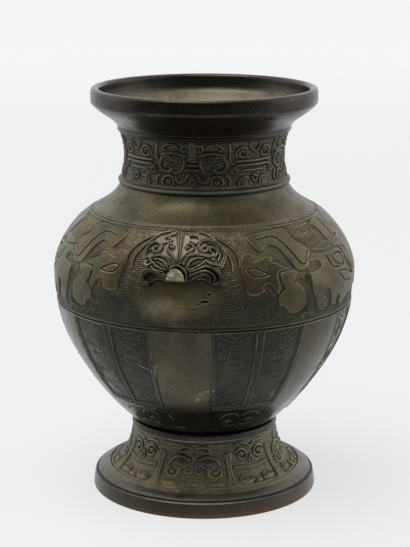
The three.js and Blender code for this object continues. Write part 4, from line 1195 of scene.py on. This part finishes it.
mouth_finish = patina(
    "rim_patina", (0.018, 0.013, 0.007), (0.034, 0.025, 0.014), (0.024, 0.022, 0.016),
    (0.18, 0.14, 0.08), (0.30, 0.25, 0.125), gloss=0.26, wax=0.06,
)
lip = [
    (RIM_RADIUS + (math.cos(a) - 1) * RIM_WALL / 2, LIP_BOTTOM + math.sin(a) * LIP_ROUND)
    for a in np.linspace(0.0, math.pi, 13)
]
mouth_line = sweep(
    (BEAD_RADIUS - 0.5, MOUTH_SEAT + 3.4), 58, (RIM_RADIUS - 0.9, RIM_BOTTOM - 0.8), 51, steps=12,
)
inner_line = (mouth_line - outward(mouth_line) * MOUTH_WALL)[::-1]
mouth_outline = [
    (MOUTH_SPIGOT, MOUTH_SEAT + 0.3), (BEAD_RADIUS - 1.0, MOUTH_SEAT + 0.3),
    (BEAD_RADIUS - 0.3, MOUTH_SEAT + 0.6), (BEAD_RADIUS, MOUTH_SEAT + 1.3),
    (BEAD_RADIUS - 0.2, MOUTH_SEAT + 2.1), (BEAD_RADIUS - 0.7, MOUTH_SEAT + 2.6),
    (BEAD_RADIUS - 0.8, MOUTH_SEAT + 3.0), *mouth_line,
    (RIM_RADIUS - 0.5, RIM_BOTTOM - 0.3), (RIM_RADIUS - 0.1, RIM_BOTTOM + 0.4),
    (RIM_RADIUS, RIM_BOTTOM + 2.0), (RIM_RADIUS, LIP_BOTTOM - 2.0), *lip,
    (RIM_INNER - 0.2, LIP_BOTTOM - 2.0), (RIM_INNER - 0.4, RIM_BOTTOM + 1.8),
    (RIM_INNER - 1.0, RIM_BOTTOM + 0.6),
    *[(r, z) for r, z in inner_line if 277.6 < z < RIM_BOTTOM - 0.4], (MOUTH_SPIGOT, MOUTH_SEAT + 7.3),
]
mouth = turned_piece("mouth_rim_cast", mouth_outline, mouth_finish, 320)
mark_points(mouth, "worn", mouth_dust)
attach(mouth, "root")
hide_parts("mouth_rim")


# Handle masks: two palmette faces of scrolled strands, cast apart and riveted on, front and rear.
# Each held a loop handle. The loops broke off and left a stub with a bright fracture.
MASK_ROOT = BELLY_SEAM + 37.2
MASK_BACK = -1.6
MASK_STEP = 0.24
MASK_LOW, MASK_HIGH = -8.0, 36.0
MASK_LEFT, MASK_RIGHT = -29.0, 34.0


def mask_relief(wall):
    """The mask on a flat sheet, in millimetres across and up from the root of the loop. The founder
    modelled its two halves by eye, so they are drawn apart."""
    wall.height[:] = MASK_BACK - 0.6

    def strand(points, width, crest, taper=1.0, channel=0.0, foot=1.5):
        """A round-backed strand, with a channel along its back; crest and foot are over the wall."""
        gap, half = wall.follow(points, width, taper)
        bulge = np.sqrt(np.clip(1 - (gap / half) ** 2, 0.0, 1.0))
        dip = channel * np.clip(1 - (gap / (0.5 * half)) ** 2, 0.0, 1.0)
        top = foot + (crest - foot) * bulge - dip
        wall.height = np.where(gap < half, np.maximum(wall.height, top), wall.height)

    def cut(points, width, depth):
        gap, half = wall.follow(points, width)
        wall.height -= depth * np.clip(1 - (gap / half) ** 2, 0.0, 1.0)

    outline = [
        (-5, -3.0), (-2, -2.4), (4.5, -2.4), (9, -1.9), (14, -1.0), (17.6, -1.5), (20, -3.4), (22.6, -5.2),
        (26.3, -4.2), (28.4, -0.5), (28.2, 3.5), (27.6, 6.5), (30.0, 8.5), (32.0, 13.0), (32.0, 17.0),
        (30.6, 21.5), (28.0, 25.0), (24.5, 27.4), (20.0, 28.4), (16.0, 28.5), (14.0, 29.6), (11.5, 31.2),
        (6.5, 31.4), (3.0, 31.9), (0, 33.6), (-3.5, 34.4), (-6.5, 33.6), (-8.4, 31.6), (-11.5, 30.4),
        (-15.0, 28.4), (-16.4, 25.4), (-21.5, 25.4), (-25.8, 23.4), (-27.4, 19.0), (-27.8, 15.0),
        (-27.4, 12.0), (-26.6, 8.0), (-25.2, 5.5), (-26.2, 2.5), (-26.2, -1.5), (-24.7, -5.2), (-21, -6.2),
        (-18.5, -3.4), (-16, -2.0), (-12, -2.0), (-8, -3.5),
    ]
    wall.plate(outline, 1.6, 1.0)
    for points, width, crest, taper, channel in (
        # Right half: the outer volute and the ridge inside it, the spiral over the eye, its ball.
        ([(28.6, 8.4), (31.0, 13.1), (30.8, 16.9), (29.4, 20.8), (27.0, 24.0), (24.0, 26.0), (20.1, 27.0),
          (16.7, 26.7), (14.0, 25.6), (12.6, 23.1), (13.1, 20.4), (14.9, 18.5), (17.2, 18.2), (19.2, 19.5),
          (19.4, 21.3), (17.9, 22.4), (16.5, 21.7)], 2.9, 4.6, 0.72, 0.9),
        ([(26.3, 11.6), (28.0, 15.4), (27.6, 19.0), (25.4, 22.4), (22.0, 24.2), (19.0, 24.6)],
         1.7, 4.0, 0.6, 0.0),
        ([(2.6, 9.0), (3.5, 12.2), (5.1, 14.7), (8.1, 16.0), (11.7, 16.2), (15.4, 15.6), (19.5, 14.9),
          (22.6, 14.5), (24.9, 15.1), (26.2, 17.0), (25.8, 19.0), (24.2, 20.5), (22.2, 20.9), (20.6, 19.9),
          (21.0, 18.3)], 2.5, 5.0, 0.8, 0.8),
        ([(22.9, 12.6), (23.3, 12.6)], 2.6, 4.8, 1.0, 0.0),
        ([(18.5, 11.3), (20.8, 9.5), (24.5, 8.7), (27.6, 8.2)], 1.6, 4.2, 0.8, 0.0),
        ([(5.1, 5.8), (6.5, 9.9), (8.8, 12.2), (12.2, 13.5), (16.3, 13.3)], 1.5, 4.4, 0.7, 0.0),
        ([(5.1, 4.9), (9.5, 6.2), (13.1, 8.3), (16.3, 10.6), (18.3, 12.2)], 1.5, 4.2, 0.8, 0.0),
        ([(8.2, 8.2), (11.8, 10.6), (15.0, 11.8)], 3.2, 3.0, 0.5, 0.0),
        # Its rolled lip, in three ridges, and the inner stem with its curl.
        ([(6.7, 3.5), (11.3, 4.9), (15.4, 7.0), (19.0, 7.6), (22.6, 6.0), (25.4, 3.5), (26.9, 0.8),
          (27.0, -1.5), (25.4, -3.6), (22.9, -4.0)], 2.3, 5.4, 0.9, 0.5),
        ([(7.2, 1.3), (11.3, 2.9), (14.5, 4.0), (17.6, 4.5), (20.4, 3.5), (22.4, 1.7), (23.5, -0.5),
          (23.1, -2.4)], 2.1, 6.0, 0.9, 0.5),
        ([(9.0, -0.5), (12.6, 1.3), (15.8, 2.4), (18.5, 2.2), (20.4, 0.8), (21.0, -1.0)],
         2.0, 5.2, 0.8, 0.4),
        ([(0.4, 9.5), (1.0, 12.2), (2.6, 14.9), (4.9, 17.2), (7.2, 18.5), (8.8, 20.4), (8.3, 22.6),
          (6.3, 23.5), (4.0, 23.3), (2.9, 21.7), (4.0, 20.6), (5.2, 21.5)], 2.2, 4.7, 0.8, 0.7),
        ([(6.0, 25.8), (8.1, 24.6), (10.1, 23.9), (11.9, 25.0), (13.1, 26.9), (12.6, 28.7), (11.0, 29.7),
          (8.5, 30.1), (5.8, 29.7)], 1.9, 4.4, 0.8, 0.5),
        # Left half.
        ([(-26.2, 12.6), (-26.4, 16.3), (-26.0, 19.5), (-24.6, 22.2), (-21.5, 24.0), (-18.3, 23.9),
          (-16.0, 22.4), (-15.2, 20.1), (-16.0, 18.1), (-18.0, 16.9), (-20.1, 16.9), (-21.1, 18.1),
          (-20.3, 19.9), (-19.2, 20.4)], 2.6, 4.6, 0.75, 0.8),
        ([(-23.6, 17.9), (-23.3, 17.9)], 2.0, 4.2, 1.0, 0.0),
        ([(-25.8, 12.2), (-23.7, 13.1), (-21.5, 11.3), (-20.3, 9.0), (-22.4, 7.2), (-24.4, 7.4)],
         1.8, 4.4, 0.8, 0.4),
        ([(-24.2, 9.9), (-23.9, 9.9)], 2.0, 4.6, 1.0, 0.0),
        ([(-4.2, 8.6), (-4.6, 12.2), (-6.5, 14.9), (-8.3, 16.7), (-10.1, 18.5), (-10.8, 21.3),
          (-10.1, 22.6), (-8.3, 23.3), (-6.5, 22.6), (-6.2, 21.0), (-7.6, 20.6), (-8.5, 21.5)],
         2.2, 4.7, 0.8, 0.7),
        ([(-20.5, 13.1), (-17.8, 14.4), (-14.2, 14.6), (-10.5, 13.3), (-8.2, 11.2), (-6.9, 8.4)],
         2.3, 4.8, 0.9, 0.7),
        ([(-19.2, 11.7), (-16.0, 11.7), (-12.4, 10.6), (-9.6, 8.3), (-8.3, 5.9)], 1.5, 4.2, 0.8, 0.0),
        ([(-19.6, 9.5), (-16.5, 6.9), (-12.8, 5.3), (-9.4, 4.8)], 1.5, 4.2, 0.8, 0.0),
        ([(-17.2, 9.9), (-13.6, 8.2), (-10.8, 6.6)], 2.8, 3.0, 0.6, 0.0),
        ([(-19.8, 6.0), (-17.8, 4.6), (-14.2, 3.7), (-10.5, 2.9)], 1.7, 4.8, 0.9, 0.0),
        ([(-8.8, 0.7), (-12.4, 1.0), (-15.5, 2.2), (-18.7, 3.3), (-21.9, 3.0), (-24.0, 1.4), (-24.4, -1.0),
          (-23.6, -4.0), (-21.2, -5.0)], 3.3, 6.0, 0.85, 0.7),
        ([(-14.2, 23.9), (-11.5, 24.6), (-9.2, 25.3), (-8.4, 26.6), (-9.6, 27.9), (-11.2, 27.4)],
         1.8, 4.2, 0.8, 0.4),
        ([(-14.2, 27.6), (-10.5, 29.6), (-7.2, 31.1), (-5.9, 32.8)], 1.5, 3.8, 0.9, 0.0),
        # The midrib, which opens into the crest.
        ([(-1.7, 8.5), (-1.6, 18.5), (-2.6, 28.0), (-3.0, 32.4)], 2.4, 3.8, 1.7, 1.0),
    ):
        strand(points, width, crest, taper, channel)
    cut([(-0.2, 21.0), (0.2, 26.0), (0.4, 31.6)], 1.3, 0.8)
    cut([(-3.2, 21.0), (-4.6, 26.0), (-6.0, 30.4)], 1.2, 0.8)
    strand([(-6.3, 4.6), (-4.6, 6.7), (-1.5, 7.4), (1.6, 6.2), (4.1, 3.5), (5.1, 0.4), (4.8, -1.9)],
           2.3, 6.6, 1.0, 0.4)
    # The stub of the loop: half an ellipse of broken metal with a rough face.
    level = wall.y + wall.line[0, 1]
    stub = (((wall.x + 2.1) / 5.9) ** 2 + ((level + 2.4) / 7.4) ** 2 < 1.0) & (level > -2.4)
    random = np.random.default_rng(2)
    broken = blurred(random.normal(0.0, 1.0, wall.height.shape), 7)
    wall.height = np.where(stub, 7.9 + 1.8 * broken + 0.09 * level, wall.height)
    return stub


def slab_mesh(name, top, bottom, kept, marks, finish):
    """A closed mesh over the kept cells of a grid, with a top, a bottom and a wall between them."""
    rows, cols = top.shape[:2]
    index = np.arange(rows * cols).reshape(rows, cols)
    a, b, c, d = index[:-1, :-1], index[:-1, 1:], index[1:, 1:], index[1:, :-1]
    lower = rows * cols
    faces = [np.stack([a, b, c, d], -1)[kept], np.stack([d, c, b, a], -1)[kept] + lower]
    padded = np.pad(kept, 1)
    for shift, start, end in (((0, 1), a, b), ((1, 2), b, c), ((2, 1), c, d), ((1, 0), d, a)):
        beyond = padded[shift[0]:shift[0] + rows - 1, shift[1]:shift[1] + cols - 1]
        open_side = kept & ~beyond
        s, e = start[open_side], end[open_side]
        faces.append(np.stack([s, s + lower, e + lower, e], -1))
    used, corners = np.unique(np.vstack(faces), return_inverse=True)
    places = np.vstack([top.reshape(-1, 3), bottom.reshape(-1, 3)])[used]
    marks = {key: np.append(field, np.zeros(lower))[used] for key, field in marks.items()}
    corners = corners.reshape(-1)
    return mesh_piece(name, places, corners, np.arange(0, len(corners), 4), marks, finish)


mask_finish = patina(
    "mask_patina", (0.024, 0.022, 0.016), (0.044, 0.039, 0.027), (0.024, 0.026, 0.022),
    (0.48, 0.42, 0.28), (0.58, 0.50, 0.33), gloss=0.34, deep=0.95, rub_and_highlight=1.0, wax=0.15,
)
mask_across = np.arange(MASK_LEFT, MASK_RIGHT + 0.01, MASK_STEP)
mask_up = np.arange(MASK_LOW, MASK_HIGH + 0.01, MASK_STEP)
# A flat sheet on which one degree is one millimetre.
mask_sheet = Wall(
    np.array([(0.0, MASK_LOW), (0.0, 0.0), (0.0, MASK_HIGH)]), mask_up - MASK_LOW, mask_across,
    math.degrees(1.0),
)
stub_marks = mask_relief(mask_sheet)
mask_heights = blurred(mask_sheet.height, 1)
mask_hollows = hollows(mask_heights, 5, 0.9)
mask_dust = np.clip((2.7 - mask_heights) / 0.9, 0.0, 0.9) * (mask_heights > 0.9) * (1 - mask_hollows)
# The rolled lips stay darker: the dust and the pale crests fade out towards the bottom of the mask.
mask_dust *= np.clip((mask_up[:, None] - 4.0) / 4.0, 0.1, 1.0)
# Painted shade darkens the hollows, and the crests get rubbed metal and a painted highlight.
mask_marks = {
    "cavity": mask_hollows,
    "lift": crests(mask_heights, 4, 0.30) * np.clip((mask_up[:, None] + 3.0) / 11.0, 0.4, 1.0),
    "worn": np.maximum(mask_dust, blurred(stub_marks * 0.8, 1)),
}
root_arc = np.interp(MASK_ROOT, shoulder_line[:, 1], shoulder_arc)
root_radius = np.interp(MASK_ROOT, shoulder_line[:, 1], shoulder_line[:, 0])
mask_line = resampled(shoulder_line, root_arc + mask_up)
mask_normal = outward(mask_line)
metal = mask_heights > MASK_BACK
kept_cells = metal[:-1, :-1] | metal[1:, :-1] | metal[:-1, 1:] | metal[1:, 1:]


def on_wall(heights, turned):
    """Lays heights over the shoulder's wall round the root of a loop, in metres."""
    r = mask_line[:, :1] + mask_normal[:, :1] * heights
    z = mask_line[:, 1:] + mask_normal[:, 1:] * heights
    turn = mask_across / root_radius + turned
    return np.stack([r * np.sin(turn), -r * np.cos(turn), z], axis=2) * MM


for side, turned in (("front", 0.0), ("rear", math.pi)):
    face = on_wall(np.maximum(mask_heights, MASK_BACK), turned)
    back = on_wall(np.full_like(mask_heights, MASK_BACK - 0.4), turned)
    mask = slab_mesh(side + "_mask_cast", face, back, kept_cells, mask_marks, mask_finish)
    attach(mask, "root")
    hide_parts(side + "_mask")


# Rivets: four soft bronze pins that hold the masks. Their shanks pass through the shoulder's wall,
# and only their heads, closed down inside, can be seen from within.
for side in ("front", "rear"):
    for i in (1, 2):
        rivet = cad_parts["%s_mask_rivet_%d" % (side, i)]
        rivet.data.materials.clear()
        rivet.data.materials.append(shoulder_finish)
